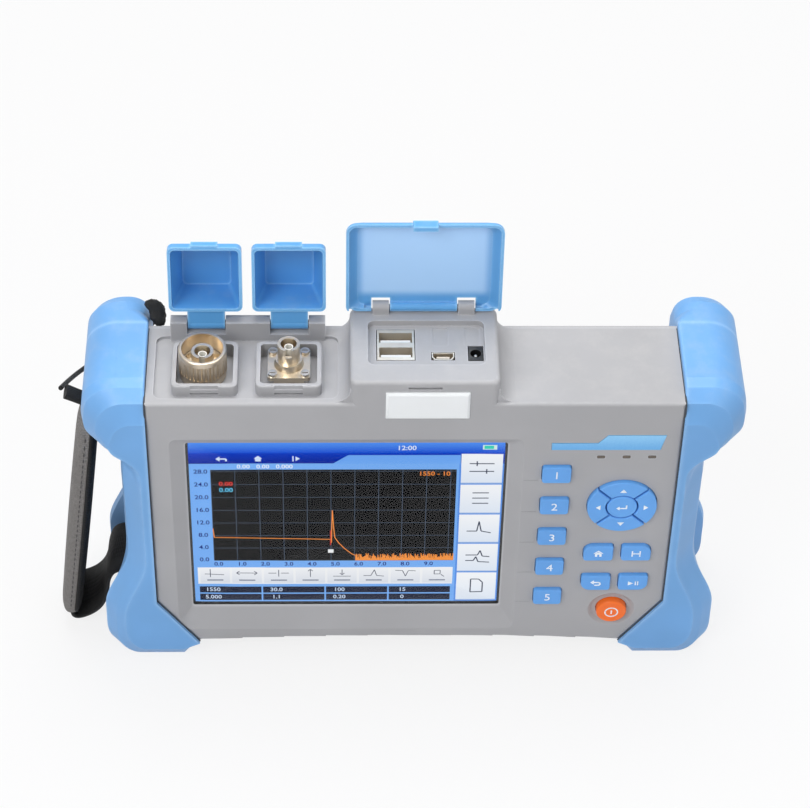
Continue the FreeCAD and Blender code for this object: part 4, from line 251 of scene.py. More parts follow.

# %% [markdown]
# ## Moulded plastics and rubbers
# Case, covers, keys and bumpers are all mouldings, so one function builds them
# from a colour, the paler colour of an edge (a painted highlight with some wear), a
# roughness and a grain.  Writing each by hand would hide what really differs between them.

# %% Make a moulded finish
def moulded(name, colour, paler, roughness, pits=2600.0, depth=0.00002, drift=0.12,
            edge=0.55, width=0.0012, dusty=0.10, coat=0.0):
    """Grainy plastic whose edges are painted lighter, a painted highlight with some wear, and whose
    colour drifts a little.
    """
    material, tree, shader = fresh_material(name)
    texture = use_group(tree, grain, pits=pits)
    deeper = tuple(channel * (1 - drift) for channel in colour[:3]) + (1.0,)
    base = blend_colours(tree, texture.outputs["Mottle"], deeper, colour)
    light = use_group(tree, edges, width=width)
    # Edges take the paler colour: a painted highlight along each edge, with some wear.
    edge_lit_and_worn = blend_colours(tree, reckon(tree, "MULTIPLY", light.outputs["Mask"], edge), base, paler)
    film = use_group(tree, dust, amount=dusty)
    seen = blend_colours(tree, film.outputs["Mask"], edge_lit_and_worn, paint(214, 212, 206))
    tree.links.new(seen, shader.inputs["Base Color"])
    dull = reckon(tree, "ADD", reckon(tree, "MULTIPLY", texture.outputs["Mottle"], 0.06),
                  reckon(tree, "MULTIPLY", film.outputs["Mask"], 0.5))
    tree.links.new(reckon(tree, "ADD", dull, roughness), shader.inputs["Roughness"])
    bump = put(tree, "ShaderNodeBump", {"Strength": 0.5, "Distance": depth,
                                        "Height": texture.outputs["Height"]})
    tree.links.new(bump.outputs[0], shader.inputs["Normal"])
    shader.inputs["Coat Weight"].default_value = coat
    shader.inputs["Coat Roughness"].default_value = 0.2
    return material


# %% [markdown]
# ### The mouldings
# Each moulded slot of the record gets its own colour and grain.  The pits of the
# rubber lie closer together than those of the case, and the port covers are the
# smoothest of all.

# %% Mould the finishes
# The second colour of each moulding is its edge colour: a painted highlight with some wear.
finishes = {
    "bumper_rubber": moulded("bumper rubber", paint(112, 169, 226), paint(176, 214, 250), 0.40,
                             pits=3400.0, depth=0.000012, drift=0.10, width=0.003, edge=0.45),
    "case_plastic": moulded("case plastic", paint(170, 170, 173), paint(208, 209, 214), 0.48,
                            pits=2400.0, depth=0.00003, drift=0.07, width=0.0011, edge=0.4),
    "cover_plastic": moulded("cover plastic", paint(94, 167, 228), paint(158, 212, 250), 0.30,
                             pits=3600.0, depth=0.000008, drift=0.08, width=0.0016, edge=0.85,
                             coat=0.25),
    "key_rubber": moulded("key rubber", paint(98, 166, 238), paint(158, 210, 254), 0.42,
                          pits=3800.0, depth=0.00001, drift=0.08, width=0.0007, dusty=0.05),
    "power_rubber": moulded("power rubber", paint(250, 112, 24), paint(255, 160, 84), 0.38,
                            pits=3800.0, depth=0.00001, drift=0.08, width=0.0008, dusty=0.04),
    "plate_plastic": moulded("plate plastic", paint(236, 239, 241), paint(246, 247, 248), 0.35,
                             pits=4200.0, depth=0.000006, drift=0.04, width=0.0006, dusty=0.05),
    "mat_rubber": moulded("mat rubber", paint(70, 72, 76), paint(92, 94, 98), 0.7),
    "socket_plastic": moulded("socket plastic", paint(26, 26, 28), paint(62, 62, 64), 0.45,
                              pits=3600.0, depth=0.00001, width=0.0004),
    "bobbin_plastic": moulded("bobbin plastic", paint(230, 226, 214), paint(244, 242, 236), 0.5),
    "battery_wrap": moulded("battery wrap", paint(38, 60, 110), paint(90, 112, 160), 0.35,
                            coat=0.3),
}
white_tongue = moulded("socket tongue", paint(232, 233, 232), paint(250, 250, 250), 0.4,
                       pits=3600.0, depth=0.000008, width=0.0004)
print(len(finishes), "mouldings")

# %% [markdown]
# ### The wide cover's pale middle
# The wide cover is a thin tray, so light comes through its floor and its thick
# rim stays dark; that light is painted into the floor's colour.  The same finish is
# copied and its colour is swapped for one that grows pale away from the rim, worked
# out from the cover's own box.

# %% Paint light into the wide cover's floor
tray_low, tray_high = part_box("data_cover")
backlit_cover = finishes["cover_plastic"].copy()
backlit_cover.name = "thin cover plastic"
tree = backlit_cover.node_tree
spot = put(tree, "ShaderNodeSeparateXYZ", {0: put(tree, "ShaderNodeTexCoord").outputs["Object"]})
middle_x, half_x = (tray_low.x + tray_high.x) / 2, (tray_high.x - tray_low.x) / 2
aside = reckon(tree, "ABSOLUTE", reckon(tree, "SUBTRACT", spot.outputs["X"], middle_x))
rise = reckon(tree, "DIVIDE", reckon(tree, "SUBTRACT", spot.outputs["Z"], tray_low.z),
              tray_high.z - tray_low.z)
level_part = reckon(tree, "MULTIPLY", stepped(tree, rise, 0.12, 0.22),
                    stepped(tree, rise, 0.95, 0.84))
facing = put(tree, "ShaderNodeSeparateXYZ", {0: put(tree, "ShaderNodeTexCoord").outputs["Normal"]})
inside = stepped(tree, reckon(tree, "MULTIPLY", facing.outputs["Y"], -1.0), 0.4, 0.8)
inner = reckon(tree, "MULTIPLY", inside,
               reckon(tree, "MULTIPLY", level_part,
                      stepped(tree, aside, half_x - 0.0028, half_x - 0.0075)))
socket = tree.nodes["Principled BSDF"].inputs["Base Color"]
before = socket.links[0].from_socket
# Front-facing floor faces get the pale colour: painted light standing for light through the thin
# floor.
tree.links.new(blend_colours(tree, inner, before, paint(172, 213, 255)), socket)
print("wide cover from", round(tray_low.z, 4), "to", round(tray_high.z, 4))

# %% [markdown]
# ## Metals
# The ring and the flange adapter are brass with a thin nickel plate, a warm grey.
# A plated surface is never one roughness: it has turning lines and a faint cloud.
# The lines are a noise squeezed along the height, which the lathe leaves.

# %% Make a metal finish
def plated(name, colour, shade, roughness, lines=4000.0, depth=0.000004, cloud=60.0):
    """Metal with turning lines round its axis and a cloudy plate."""
    material, tree, shader = fresh_material(name)
    where = put(tree, "ShaderNodeTexCoord").outputs["Object"]
    squeeze = put(tree, "ShaderNodeMapping", {"Vector": where, "Scale": (0.06, 0.06, 1.0)})
    turning = put(tree, "ShaderNodeTexNoise",
                  {"Vector": squeeze.outputs[0], "Scale": lines, "Detail": 2.0})
    clouds = put(tree, "ShaderNodeTexNoise", {"Vector": where, "Scale": cloud, "Detail": 4.0})
    share = stepped(tree, clouds.outputs[0], 0.35, 0.7)
    tree.links.new(blend_colours(tree, share, colour, shade), shader.inputs["Base Color"])
    rough = reckon(tree, "ADD", reckon(tree, "MULTIPLY", turning.outputs[0], 0.10),
                   reckon(tree, "MULTIPLY", share, 0.07))
    tree.links.new(reckon(tree, "ADD", rough, roughness), shader.inputs["Roughness"])
    bump = put(tree, "ShaderNodeBump", {"Strength": 0.4, "Distance": depth,
                                        "Height": turning.outputs[0]})
    tree.links.new(bump.outputs[0], shader.inputs["Normal"])
    shader.inputs["Metallic"].default_value = 1.0
    return material, tree, shader


finishes["adapter_metal"] = plated("nickel on brass", paint(238, 226, 206), paint(214, 198, 176),
                                   0.24)[0]
finishes["steel"] = plated("steel", paint(204, 200, 194), paint(176, 171, 165), 0.30)[0]
finishes["sheet_metal"] = plated("tinned sheet", paint(240, 231, 216), paint(214, 204, 190), 0.42,
                                 lines=900.0)[0]
print("metals: nickel, steel, tin")

# %% [markdown]
# ### The knurled ring
# A knurl is two sets of slanted ridges pressed into a cylinder.  The angle round
# the ring's axis comes from an arctangent of the position, so the diamonds need
# no UV map: they are the product of two sines, one for each slant.

# %% Knurl the ring
ring_low, ring_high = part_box("otdr_ring")
ring_x = (ring_low.x + ring_high.x) / 2
ring_y = (ring_low.y + ring_high.y) / 2
material, tree, shader = plated("knurled nickel", paint(228, 214, 194), paint(200, 184, 162), 0.26)
place = put(tree, "ShaderNodeSeparateXYZ", {0: put(tree, "ShaderNodeTexCoord").outputs["Object"]})
off_x = reckon(tree, "SUBTRACT", place.outputs["X"], ring_x)
off_y = reckon(tree, "SUBTRACT", place.outputs["Y"], ring_y)
angle = reckon(tree, "MULTIPLY", reckon(tree, "ARCTAN2", off_y, off_x), 44.0)
climb = reckon(tree, "MULTIPLY", place.outputs["Z"], 5000.0)
ridges = reckon(tree, "MULTIPLY", reckon(tree, "SINE", reckon(tree, "ADD", angle, climb)),
                reckon(tree, "SINE", reckon(tree, "SUBTRACT", angle, climb)))
radius = reckon(tree, "SQRT", reckon(tree, "ADD", reckon(tree, "MULTIPLY", off_x, off_x),
                                     reckon(tree, "MULTIPLY", off_y, off_y)))
on_band = reckon(
    tree, "MULTIPLY", stepped(tree, radius, 0.0080, 0.0084),
    reckon(tree, "SUBTRACT", 1.0, stepped(tree, place.outputs["Z"], ring_high.z - 0.0024,
                                          ring_high.z - 0.0020)),
)
bump = put(tree, "ShaderNodeBump", {"Strength": 0.8, "Distance": 0.00015,
                                    "Height": reckon(tree, "MULTIPLY", ridges, on_band)})
tree.links.new(bump.outputs[0], shader.inputs["Normal"])
finishes["ring_metal"] = material
print("ring axis at", round(ring_x, 4), round(ring_y, 4))

# %% [markdown]
# ## Clear glass
# The pane over the display is clear and slightly smeared.  A mirror coat would
# hide the picture, and no glass at all would look like paper.  So it is clear
# glass with a lower index than real glass, which reflects less, as a layer
# against reflections does.

# %% Make the glass
material, tree, shader = fresh_material("display glass")
where = put(tree, "ShaderNodeTexCoord").outputs["Object"]
smears = put(tree, "ShaderNodeTexNoise", {"Vector": where, "Scale": 40.0, "Detail": 4.0})
tree.links.new(reckon(tree, "MULTIPLY", stepped(tree, smears.outputs[0], 0.5, 0.8), 0.03),
               shader.inputs["Roughness"])
shader.inputs["Base Color"].default_value = (1.0, 1.0, 1.0, 1.0)
shader.inputs["Transmission Weight"].default_value = 1.0
shader.inputs["IOR"].default_value = 1.18
finishes["display_glass"] = material
print("glass index", shader.inputs["IOR"].default_value)

# %% [markdown]
# ### Circuit boards
# The boards show only through the ports.  A printed pattern would never be seen,
# so they get the green of solder resist over the weave of the glass cloth.

# %% Make the board finish
material, tree, shader = fresh_material("board green")
where = put(tree, "ShaderNodeTexCoord").outputs["Object"]
cloth = use_group(tree, weave, vector=where, across=1400.0, along=1400.0)
tree.links.new(blend_colours(tree, reckon(tree, "MULTIPLY", cloth.outputs["Height"], 0.3),
                             paint(16, 74, 44), paint(44, 112, 70)), shader.inputs["Base Color"])
shader.inputs["Roughness"].default_value = 0.35
finishes["circuit_board"] = material
print("board weave shares the group", weave.name)

# %% [markdown]
# ### Ceramic
# The sleeves that hold the fibre's ferrule are polished zirconia: nearly white,
# very smooth, with specks so small that they only soften the white.

# %% Make the ceramic
material, tree, shader = fresh_material("white ceramic")
where = put(tree, "ShaderNodeTexCoord").outputs["Object"]
specks = put(tree, "ShaderNodeTexNoise", {"Vector": where, "Scale": 1800.0, "Detail": 2.0})
tree.links.new(blend_colours(tree, specks.outputs[0], paint(226, 224, 216), paint(246, 245, 240)),
               shader.inputs["Base Color"])
shader.inputs["Roughness"].default_value = 0.18
finishes["ceramic"] = material
print("ceramic roughness", round(shader.inputs["Roughness"].default_value, 2))

# %% [markdown]
# ### Lamps
# The lamps are off.  An unlit lamp is smoky plastic under a smooth skin, so a
# clear coat over a cloudy brown does it without any light of its own.

# %% Make the lamp finish
material, tree, shader = fresh_material("smoky lamp")
where = put(tree, "ShaderNodeTexCoord").outputs["Object"]
clouds = put(tree, "ShaderNodeTexNoise", {"Vector": where, "Scale": 700.0, "Detail": 2.0})
tree.links.new(blend_colours(tree, clouds.outputs[0], paint(58, 50, 44), paint(104, 92, 80)),
               shader.inputs["Base Color"])
shader.inputs["Roughness"].default_value = 0.15
shader.inputs["Coat Weight"].default_value = 0.6
finishes["lamp_plastic"] = material
print("lamp coat", round(shader.inputs["Coat Weight"].default_value, 2))

# %% [markdown]
# ### Stripe film
# The stripe is a thin film; it is painted lighter towards its top, a painted highlight.  The height on
# the film's own box gives that ramp, and fine flecks keep it from looking flat.

# %% Make the film
material, tree, shader = fresh_material("stripe film")
where = put(tree, "ShaderNodeTexCoord").outputs["Object"]
place = put(tree, "ShaderNodeSeparateXYZ", {0: where})
film_low, film_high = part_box("stripe_overlay")
rise = stepped(tree, place.outputs["Z"], film_low.z, film_high.z)
flecks = put(tree, "ShaderNodeTexNoise", {"Vector": where, "Scale": 1500.0, "Detail": 2.0})
# The ramp up the film is painted light; the flecks are the film's own.
brightening = reckon(tree, "ADD", reckon(tree, "MULTIPLY", rise, 0.55),
              reckon(tree, "MULTIPLY", flecks.outputs[0], 0.3))
tree.links.new(blend_colours(tree, brightening, paint(90, 166, 228), paint(154, 214, 252)),
               shader.inputs["Base Color"])
shader.inputs["Roughness"].default_value = 0.3
finishes["stripe_film"] = material
print("film from", round(film_low.z, 4), "to", round(film_high.z, 4))

# %% [markdown]
# ### Display module
# The panel behind the glass shows only as a thin dark frame round the picture.
# It is nearly black with faint clouds, as a coated metal frame has.

# %% Make the module's finish
material, tree, shader = fresh_material("display module")
where = put(tree, "ShaderNodeTexCoord").outputs["Object"]
clouds = put(tree, "ShaderNodeTexNoise", {"Vector": where, "Scale": 300.0, "Detail": 2.0})
tree.links.new(blend_colours(tree, clouds.outputs[0], paint(20, 21, 24), paint(34, 35, 38)),
               shader.inputs["Base Color"])
shader.inputs["Roughness"].default_value = 0.4
finishes["display_module"] = material
print(len(finishes), "finishes so far")

# %% [markdown]
# ## Cloth
# The pad's cover is a coarse grey weave with a speckle of light and dark yarn;
# its lining, the piping and the webbing are black.  The weave follows the piece's
# own UV map, which is laid out in metres, so the threads keep one size everywhere.

# %% Make a cloth finish
def woven(name, colour, dark_yarn_and_shade, light, threads, depth, speckle=0.5, roughness=0.85, sheen=0.2,
          middle=None):
    """Plain weave with speckled yarn and painted shade in the dips between threads; threads is the
    number to a metre.
    """
    material, tree, shader = fresh_material(name)
    layout = put(tree, "ShaderNodeTexCoord").outputs["UV"]
    cloth = use_group(tree, weave, vector=layout, across=threads, along=threads)
    where = put(tree, "ShaderNodeTexCoord").outputs["Object"]
    yarn = put(tree, "ShaderNodeTexNoise", {"Vector": where, "Scale": threads * 0.8,
                                            "Detail": 3.0, "Roughness": 0.8})
    wear = put(tree, "ShaderNodeTexNoise", {"Vector": where, "Scale": 90.0, "Detail": 3.0})
    body = colour
    if middle:
        band = put(tree, "ShaderNodeAttribute", attribute_name="paler").outputs["Fac"]
        body = blend_colours(tree, band, colour, middle)
    shade = blend_colours(tree, reckon(tree, "MULTIPLY", stepped(tree, yarn.outputs[0], 0.5, 0.3),
                                       speckle), body, dark_yarn_and_shade)
    bright = blend_colours(tree, reckon(tree, "MULTIPLY", stepped(tree, yarn.outputs[0], 0.5, 0.7),
                                        speckle), shade, light)
    # The weave's low parts take the dark colour: painted shade in the dips between threads.
    low = blend_colours(tree, stepped(tree, cloth.outputs["Height"], 0.0, 0.5), dark_yarn_and_shade, bright)
    tree.links.new(low, shader.inputs["Base Color"])
    rough = reckon(tree, "ADD", reckon(tree, "MULTIPLY", wear.outputs[0], 0.12), roughness - 0.06)
    tree.links.new(rough, shader.inputs["Roughness"])
    lift = reckon(tree, "ADD", cloth.outputs["Height"],
                  reckon(tree, "MULTIPLY", yarn.outputs[0], 0.5))
    bump = put(tree, "ShaderNodeBump", {"Strength": 0.9, "Distance": depth, "Height": lift})
    tree.links.new(bump.outputs[0], shader.inputs["Normal"])
    shader.inputs["Sheen Weight"].default_value = sheen
    shader.inputs["Sheen Roughness"].default_value = 0.4
    return material


# %% [markdown]
# ### Five cloths
# The pad is paler down the middle of its front edge, so its colour reads a second
# value from the mesh.  Lining, webbing and cord are black and differ by thread count and
# roughness; the stitching thread is a dark grey.

# %% Weave the cloths
pad_cloth = woven("pad cloth", paint(112, 108, 106), paint(70, 67, 66), paint(160, 156, 152),
                  1500.0, 0.00025, middle=paint(142, 138, 135))
lining_cloth = woven("lining cloth", paint(17, 17, 18), paint(6, 6, 7), paint(34, 34, 36),
                     1300.0, 0.0002, sheen=0.02)
web_cloth = woven("webbing cloth", paint(15, 15, 16), paint(5, 5, 6), paint(30, 30, 32),
                  2400.0, 0.0002, roughness=0.62, sheen=0.02)
thread_cloth = woven("stitching thread", paint(72, 70, 69), paint(40, 39, 38), paint(110, 108, 106),
                     3000.0, 0.00005)
cord_cloth = woven("braided cord", paint(16, 16, 17), paint(5, 5, 6), paint(34, 34, 36),
                   1400.0, 0.00015, roughness=0.5, sheen=0.02)
finishes["strap_fabric"] = pad_cloth
finishes["strap_webbing"] = web_cloth
print("cloths:", [m.name for m in (pad_cloth, lining_cloth, web_cloth, thread_cloth, cord_cloth)])

# %% [markdown]
# ## Give every machined node its finish
# The record names a material slot for each node, and the slot's finish goes onto
# the node's mesh.  A few nodes share a slot but not a finish, such as the white
# tongues of the data sockets and the black power jack.

# %% Dress the machined nodes
own_finish = {"usb_tongues": white_tongue, "data_cover": backlit_cover,
              "usb_socket": finishes["sheet_metal"], "mini_usb_socket": finishes["sheet_metal"]}
for name, node in nodes.items():
    was = [slot.material.name for slot in node.material_slots]
    finish = own_finish.get(name) or finishes[was[0].split(".")[0]]
    for slot in node.material_slots:
        slot.material = finish
print("dressed", len(nodes), "nodes")

# %% [markdown]
# ## Surfaces from numbers
# Every soft or printed piece is a grid of points: rows run along the piece and
# columns go round it.  The grid is computed as one array, and a helper turns it
# into faces.  Sculpting would give the same look but not the same sizes twice.

# %% Turn a grid into a mesh
def grid_piece(name, grid, wrap=True, caps=True, size=(1.0, 1.0)):
    """Faces between neighbours of a rows by columns grid; caps close both ends to a pole.

    UV runs from 0 to size[0] round the piece and from 0 to size[1] along it.
    """
    rows, columns = grid.shape[:2]
    points = grid.reshape(-1, 3)
    steps = columns if wrap else columns - 1
    i, j = np.meshgrid(np.arange(rows - 1), np.arange(steps), indexing="ij")
    after = (j + 1) % columns
    quads = np.stack([i * columns + j, i * columns + after, (i + 1) * columns + after,
                      (i + 1) * columns + j], -1).reshape(-1, 4)
    u = np.stack([j, j + 1, j + 1, j], -1).reshape(-1, 4) / steps * size[0]
    v = np.stack([i, i, i + 1, i + 1], -1).reshape(-1, 4) / (rows - 1) * size[1]
    a, b, c, d = (points[quads[:, k]] for k in range(4))
    volume = np.einsum("ij,ij->i", a, np.cross(b, c) + np.cross(c, d)).sum()
    faces = quads.tolist()
    corner_u, corner_v = u.ravel().tolist(), v.ravel().tolist()
    if caps:
        for row, turn in ((0, -1), (rows - 1, 1)):
            pole = len(points)
            points = np.vstack([points, grid[row].mean(0)])
            ring = row * columns + np.arange(columns)
            fan = np.stack([ring, np.roll(ring, -1), np.full(columns, pole)], -1)[:, ::turn]
            faces += fan.tolist()
            angle = np.stack([np.arange(columns), np.arange(columns) + 1,
                              np.arange(columns) + 0.5], -1)[:, ::turn]
            corner_u += (angle / columns * size[0]).ravel().tolist()
            corner_v += np.full(columns * 3, row / (rows - 1) * size[1]).tolist()
    mesh = bpy.data.meshes.new(name)
    mesh.from_pydata(points.tolist(), [], faces)
    layout = mesh.uv_layers.new(name="UVMap")
    layout.data.foreach_set("uv", np.stack([corner_u, corner_v], -1).ravel())
    if volume < 0:
        mesh.flip_normals()
    mesh.shade_smooth()
    mesh.set_sharp_from_angle(angle=math.radians(50))
    return mesh


# %% [markdown]
# ### Put a piece on its body
# Every piece rides on one body of the frame, gets its finish, and may stand
# for a machined node.  One helper does all three, so none is forgotten.

# %% Place a piece
def place_piece(name, mesh, body, material, replaces=()):
    """Put a finished mesh in the scene on its body, with its finish."""
    piece = bpy.data.objects.new(name, mesh)
    bpy.context.scene.collection.objects.link(piece)
    if material:
        mesh.materials.append(material)
    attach(piece, body)
    if replaces:
        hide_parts(*replaces)
    print(name, len(mesh.polygons), "faces")
    return piece


# %% [markdown]
# ### Smooth lines
# The tapes and the keeper need smooth lines, and the tapes and the glass pane
# need soft rectangles.  A spline object would have to be turned into points
# first; two short formulas give the points at once.

# %% Curves and soft rectangles
def curved_line(corners, each=8):
    """Quadratic curve that touches the middle of every run of the corner points.

    Each corner pulls one arc p = (1-t)^2 a + 2 t (1-t) corner + t^2 b between the
    middles of its two runs; the first and last arcs reach the ends of the line.
    """
    corners = np.asarray(corners, float)
    middles = (corners[:-1] + corners[1:]) / 2
    starts = np.vstack([corners[:1], middles[1:-1]])
    ends = np.vstack([middles[1:-1], corners[-1:]])
    t = np.linspace(0, 1, each, endpoint=False)[None, :, None]
    arcs = (1 - t) ** 2 * starts[:, None] + 2 * t * (1 - t) * corners[1:-1][:, None]
    arcs = arcs + t ** 2 * ends[:, None]
    return np.vstack([arcs.reshape(-1, 3), corners[-1:]])


def line_length(line):
    """Sum of the distances between neighbours."""
    return float(np.linalg.norm(np.diff(line, axis=0), axis=1).sum())


def superellipse(turns, power):
    """Unit outline cos and sin, each to a power: 1 is a circle, towards 0 a square."""
    turn = np.linspace(0, 2 * math.pi, turns, endpoint=False)
    wide = np.sign(np.cos(turn)) * np.abs(np.cos(turn)) ** power
    tall = np.sign(np.sin(turn)) * np.abs(np.sin(turn)) ** power
    return wide, tall


# %% [markdown]
# ## The hand strap's pad
# The pad is a stuffed sleeve: two long seams, a crowned outer side, a flat lining
# towards the hand, and ends drawn together.  Its section is a soft rectangle
# that swells away from the seams, and small puckers run across it where the
# seam thread pulls the cloth.

# %% Shape the pad
pad_low, pad_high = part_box("strap_pad")
pad_top_out, pad_low_out = -0.1192, -0.1314
pad_foot, pad_head = pad_low.z + 0.0004, pad_high.z - 0.0002
pad_middle_y = (pad_low.y + pad_high.y) / 2
pad_half_width, pad_half_thick = 0.0143, 0.0041


def pad_axis(share):
    """Middle of the pad at a share of its height, on a straight slanted line."""
    return pad_low_out + (pad_top_out - pad_low_out) * share


def pad_size(share):
    """Half thickness and half width: thin where the pad is sewn at its ends."""
    ends = np.minimum(share / 0.035, (1 - share) / 0.10)
    close = np.sqrt(np.clip(1 - (1 - np.clip(ends, 0, 1)) ** 2, 0, 1))
    thick = pad_half_thick * (0.30 + 0.70 * close) * (0.92 + 0.08 * np.sin(share * math.pi))
    narrow = np.clip((share - 0.80) / 0.20, 0, 1)
    wide = pad_half_width * (1 - 0.50 * narrow ** 2) * (0.86 + 0.14 * close)
    return thick, wide


def pad_point(share, turn, power_x=0.62, power_y=0.42, puckers=True):
    """Point of the pad's skin at a share of its height and an angle round its section."""
    thick, wide = pad_size(share)
    side = np.sign(np.cos(turn)) * np.abs(np.cos(turn)) ** power_x
    across = np.sign(np.sin(turn)) * np.abs(np.sin(turn)) ** power_y
    outer = np.clip(-side, 0, 1)
    swell = 1 + 0.16 * outer * np.cos(across * math.pi / 2)
    wave = np.sin(share * 118.0) * np.sin(share * 31.0 + 0.6) + np.sin(share * 67.0 + 1.7) * 0.5
    near_seam = np.exp(-((np.abs(across) - 0.93) / 0.16) ** 2)
    pucker = 0.00011 * wave * near_seam * puckers
    x = pad_axis(share) + side * (thick * swell + pucker)
    y = pad_middle_y + across * (wide + pucker)
    z = pad_foot + (pad_head - pad_foot) * share
    return np.stack(np.broadcast_arrays(x, y, z), -1)


print("pad", round(pad_head - pad_foot, 4), "m tall")

# %% [markdown]
# ### The skin of the pad
# The rows are nearly even from end to end, and rows end exactly where the form
# starts to draw together.  A value on each point tells the cloth where it is
# paler, and the faces towards the hand get the lining.

# %% Skin the pad
shares = np.concatenate([np.linspace(0, 0.04, 7)[:-1], np.linspace(0.04, 0.9, 130)[:-1],
                         np.linspace(0.9, 1, 14)])
turns = np.linspace(0, 2 * math.pi, 96, endpoint=False)
skin = pad_point(shares[:, None], turns[None, :])
pad_length = pad_head - pad_foot
pad_mesh = grid_piece("pad_skin", skin, size=(0.071, pad_length))
paler = pad_mesh.attributes.new("paler", "FLOAT", "POINT")
spots = np.zeros(len(pad_mesh.vertices) * 3)
pad_mesh.vertices.foreach_get("co", spots)
spots = spots.reshape(-1, 3)
height = (spots[:, 2] - pad_foot) / pad_length
aside = (spots[:, 0] - pad_axis(height)) / pad_half_thick
stripe = np.exp(-((aside + 0.15) / 0.55) ** 2) * (spots[:, 1] < pad_middle_y)
paler.data.foreach_set("value", np.clip(stripe, 0, 1))
pad_mesh.materials.append(pad_cloth)
pad_mesh.materials.append(lining_cloth)
centres = np.zeros(len(pad_mesh.polygons) * 3)
pad_mesh.polygons.foreach_get("center", centres)
centres = centres.reshape(-1, 3)
height = (centres[:, 2] - pad_foot) / pad_length
lined = (centres[:, 0] - pad_axis(height)) > pad_half_thick * 0.42
pad_mesh.polygons.foreach_set("material_index", lined.astype(int))
pad_skin = place_piece("pad_skin", pad_mesh, "case", None, ["strap_pad"])

# %% [markdown]
# ### Piping
# A round piping covers each long seam and the foot of the pad.  A swept curve
# object would need a path of its own.  The piping is a tube of rings instead, and
# its two long runs follow the skin's own formula, so they can't leave the seam.

# %% Pipe the seams
def tube(name, line, radius, turns=10, uv_round=0.004):
    """Round tube along a line; each ring lies across the line's direction."""
    line = np.asarray(line)
    heading = np.gradient(line, axis=0)
    heading /= np.linalg.norm(heading, axis=1, keepdims=True)
    guide = np.array([0.60, -0.64, 0.48])
    first = np.cross(heading, guide)
    first /= np.linalg.norm(first, axis=1, keepdims=True)
    second = np.cross(heading, first)
    turn = np.linspace(0, 2 * math.pi, turns, endpoint=False)[None, :, None]
    ring = first[:, None] * np.cos(turn) + second[:, None] * np.sin(turn)
    grid = line[:, None] + ring * radius
    return grid_piece(name, grid, size=(uv_round, line_length(line)))


def seam_turn(side):
    """Angle on the section where the lining meets the cover, on the given long edge."""
    return side * 1.32


def seam_line(side, shares, lift=0.0):
    """Line along one seam, lifted a little off the skin."""
    line = pad_point(shares, np.full(len(shares), seam_turn(side)), puckers=False)
    line[:, 0] += lift
    line[:, 1] += side * lift
    return line


run = np.linspace(0.03, 0.965, 120)
front_seam = seam_line(-1, run, 0.0001)
back_seam = seam_line(1, run, 0.0001)
foot_seam = np.linspace(front_seam[0], back_seam[0], 12)[1:-1]
foot_seam[:, 2] = pad_foot + 0.0012
whole_seam = np.vstack([front_seam[::-1], foot_seam, back_seam])
place_piece("pad_piping", tube("pad_piping", whole_seam, 0.00075), "case",
            lining_cloth)


# %% [markdown]
# ### Stitches
# A row of stitches runs beside the piping along each long seam.  An object for
# each thread would be dozens of objects, so all threads are one mesh: a small
# capsule shape of four rings and two tips, repeated along the seam.

# %% Shape one thread and repeat it
def capsules(name, starts, ends, radius, rounds=6):
    """Many short round-ended threads as one mesh; a thread is four rings and two tips."""
    along = ends - starts
    length = np.linalg.norm(along, axis=1, keepdims=True)
    along = along / length
    guide = np.array([0.60, -0.64, 0.48])
    first = np.cross(along, guide)
    first /= np.linalg.norm(first, axis=1, keepdims=True)
    second = np.cross(along, first)
    turn = np.linspace(0, 2 * math.pi, rounds, endpoint=False)
    stations = np.array([0.04, 0.25, 0.75, 0.96])
    girth = np.array([0.55, 1.0, 1.0, 0.55]) * radius
    ring = first[:, None] * np.cos(turn)[None, :, None] + second[:, None] * np.sin(turn)[None, :, None]
    middle = starts[:, None] + (ends - starts)[:, None] * stations[None, :, None]
    body = middle[:, :, None] + ring[:, None] * girth[None, :, None, None]
    count = len(starts)
    points = np.concatenate([body.reshape(count, -1, 3), starts[:, None], ends[:, None]], 1)
    i, j = np.meshgrid(np.arange(3), np.arange(rounds), indexing="ij")
    after = (j + 1) % rounds
    quads = np.stack([i * rounds + j, i * rounds + after, (i + 1) * rounds + after,
                      (i + 1) * rounds + j], -1).reshape(-1, 4)
    k = np.arange(rounds)
    low = np.stack([np.roll(k, -1), k, np.full(rounds, 4 * rounds)], -1)
    high = np.stack([3 * rounds + k, 3 * rounds + np.roll(k, -1),
                     np.full(rounds, 4 * rounds + 1)], -1)
    shift = (np.arange(count) * (4 * rounds + 2))[:, None, None]
    faces = (quads[None] + shift).reshape(-1, 4).tolist()
    faces += (low[None] + shift).reshape(-1, 3).tolist()
    faces += (high[None] + shift).reshape(-1, 3).tolist()
    mesh = bpy.data.meshes.new(name)
    mesh.from_pydata(points.reshape(-1, 3).tolist(), [], faces)
    mesh.uv_layers.new(name="UVMap")
    a, b, c = points[0, quads[0, 0]], points[0, quads[0, 1]], points[0, quads[0, 2]]
    if np.dot(np.cross(b - a, c - a), a - middle[0, 0]) < 0:
        mesh.flip_normals()
    mesh.shade_smooth()
    return mesh


# %% [markdown]
# The threads of a row follow the skin at one angle of its section, a hair above
# it.  Each takes a set share of the pitch, and the rest of the pitch is the gap.

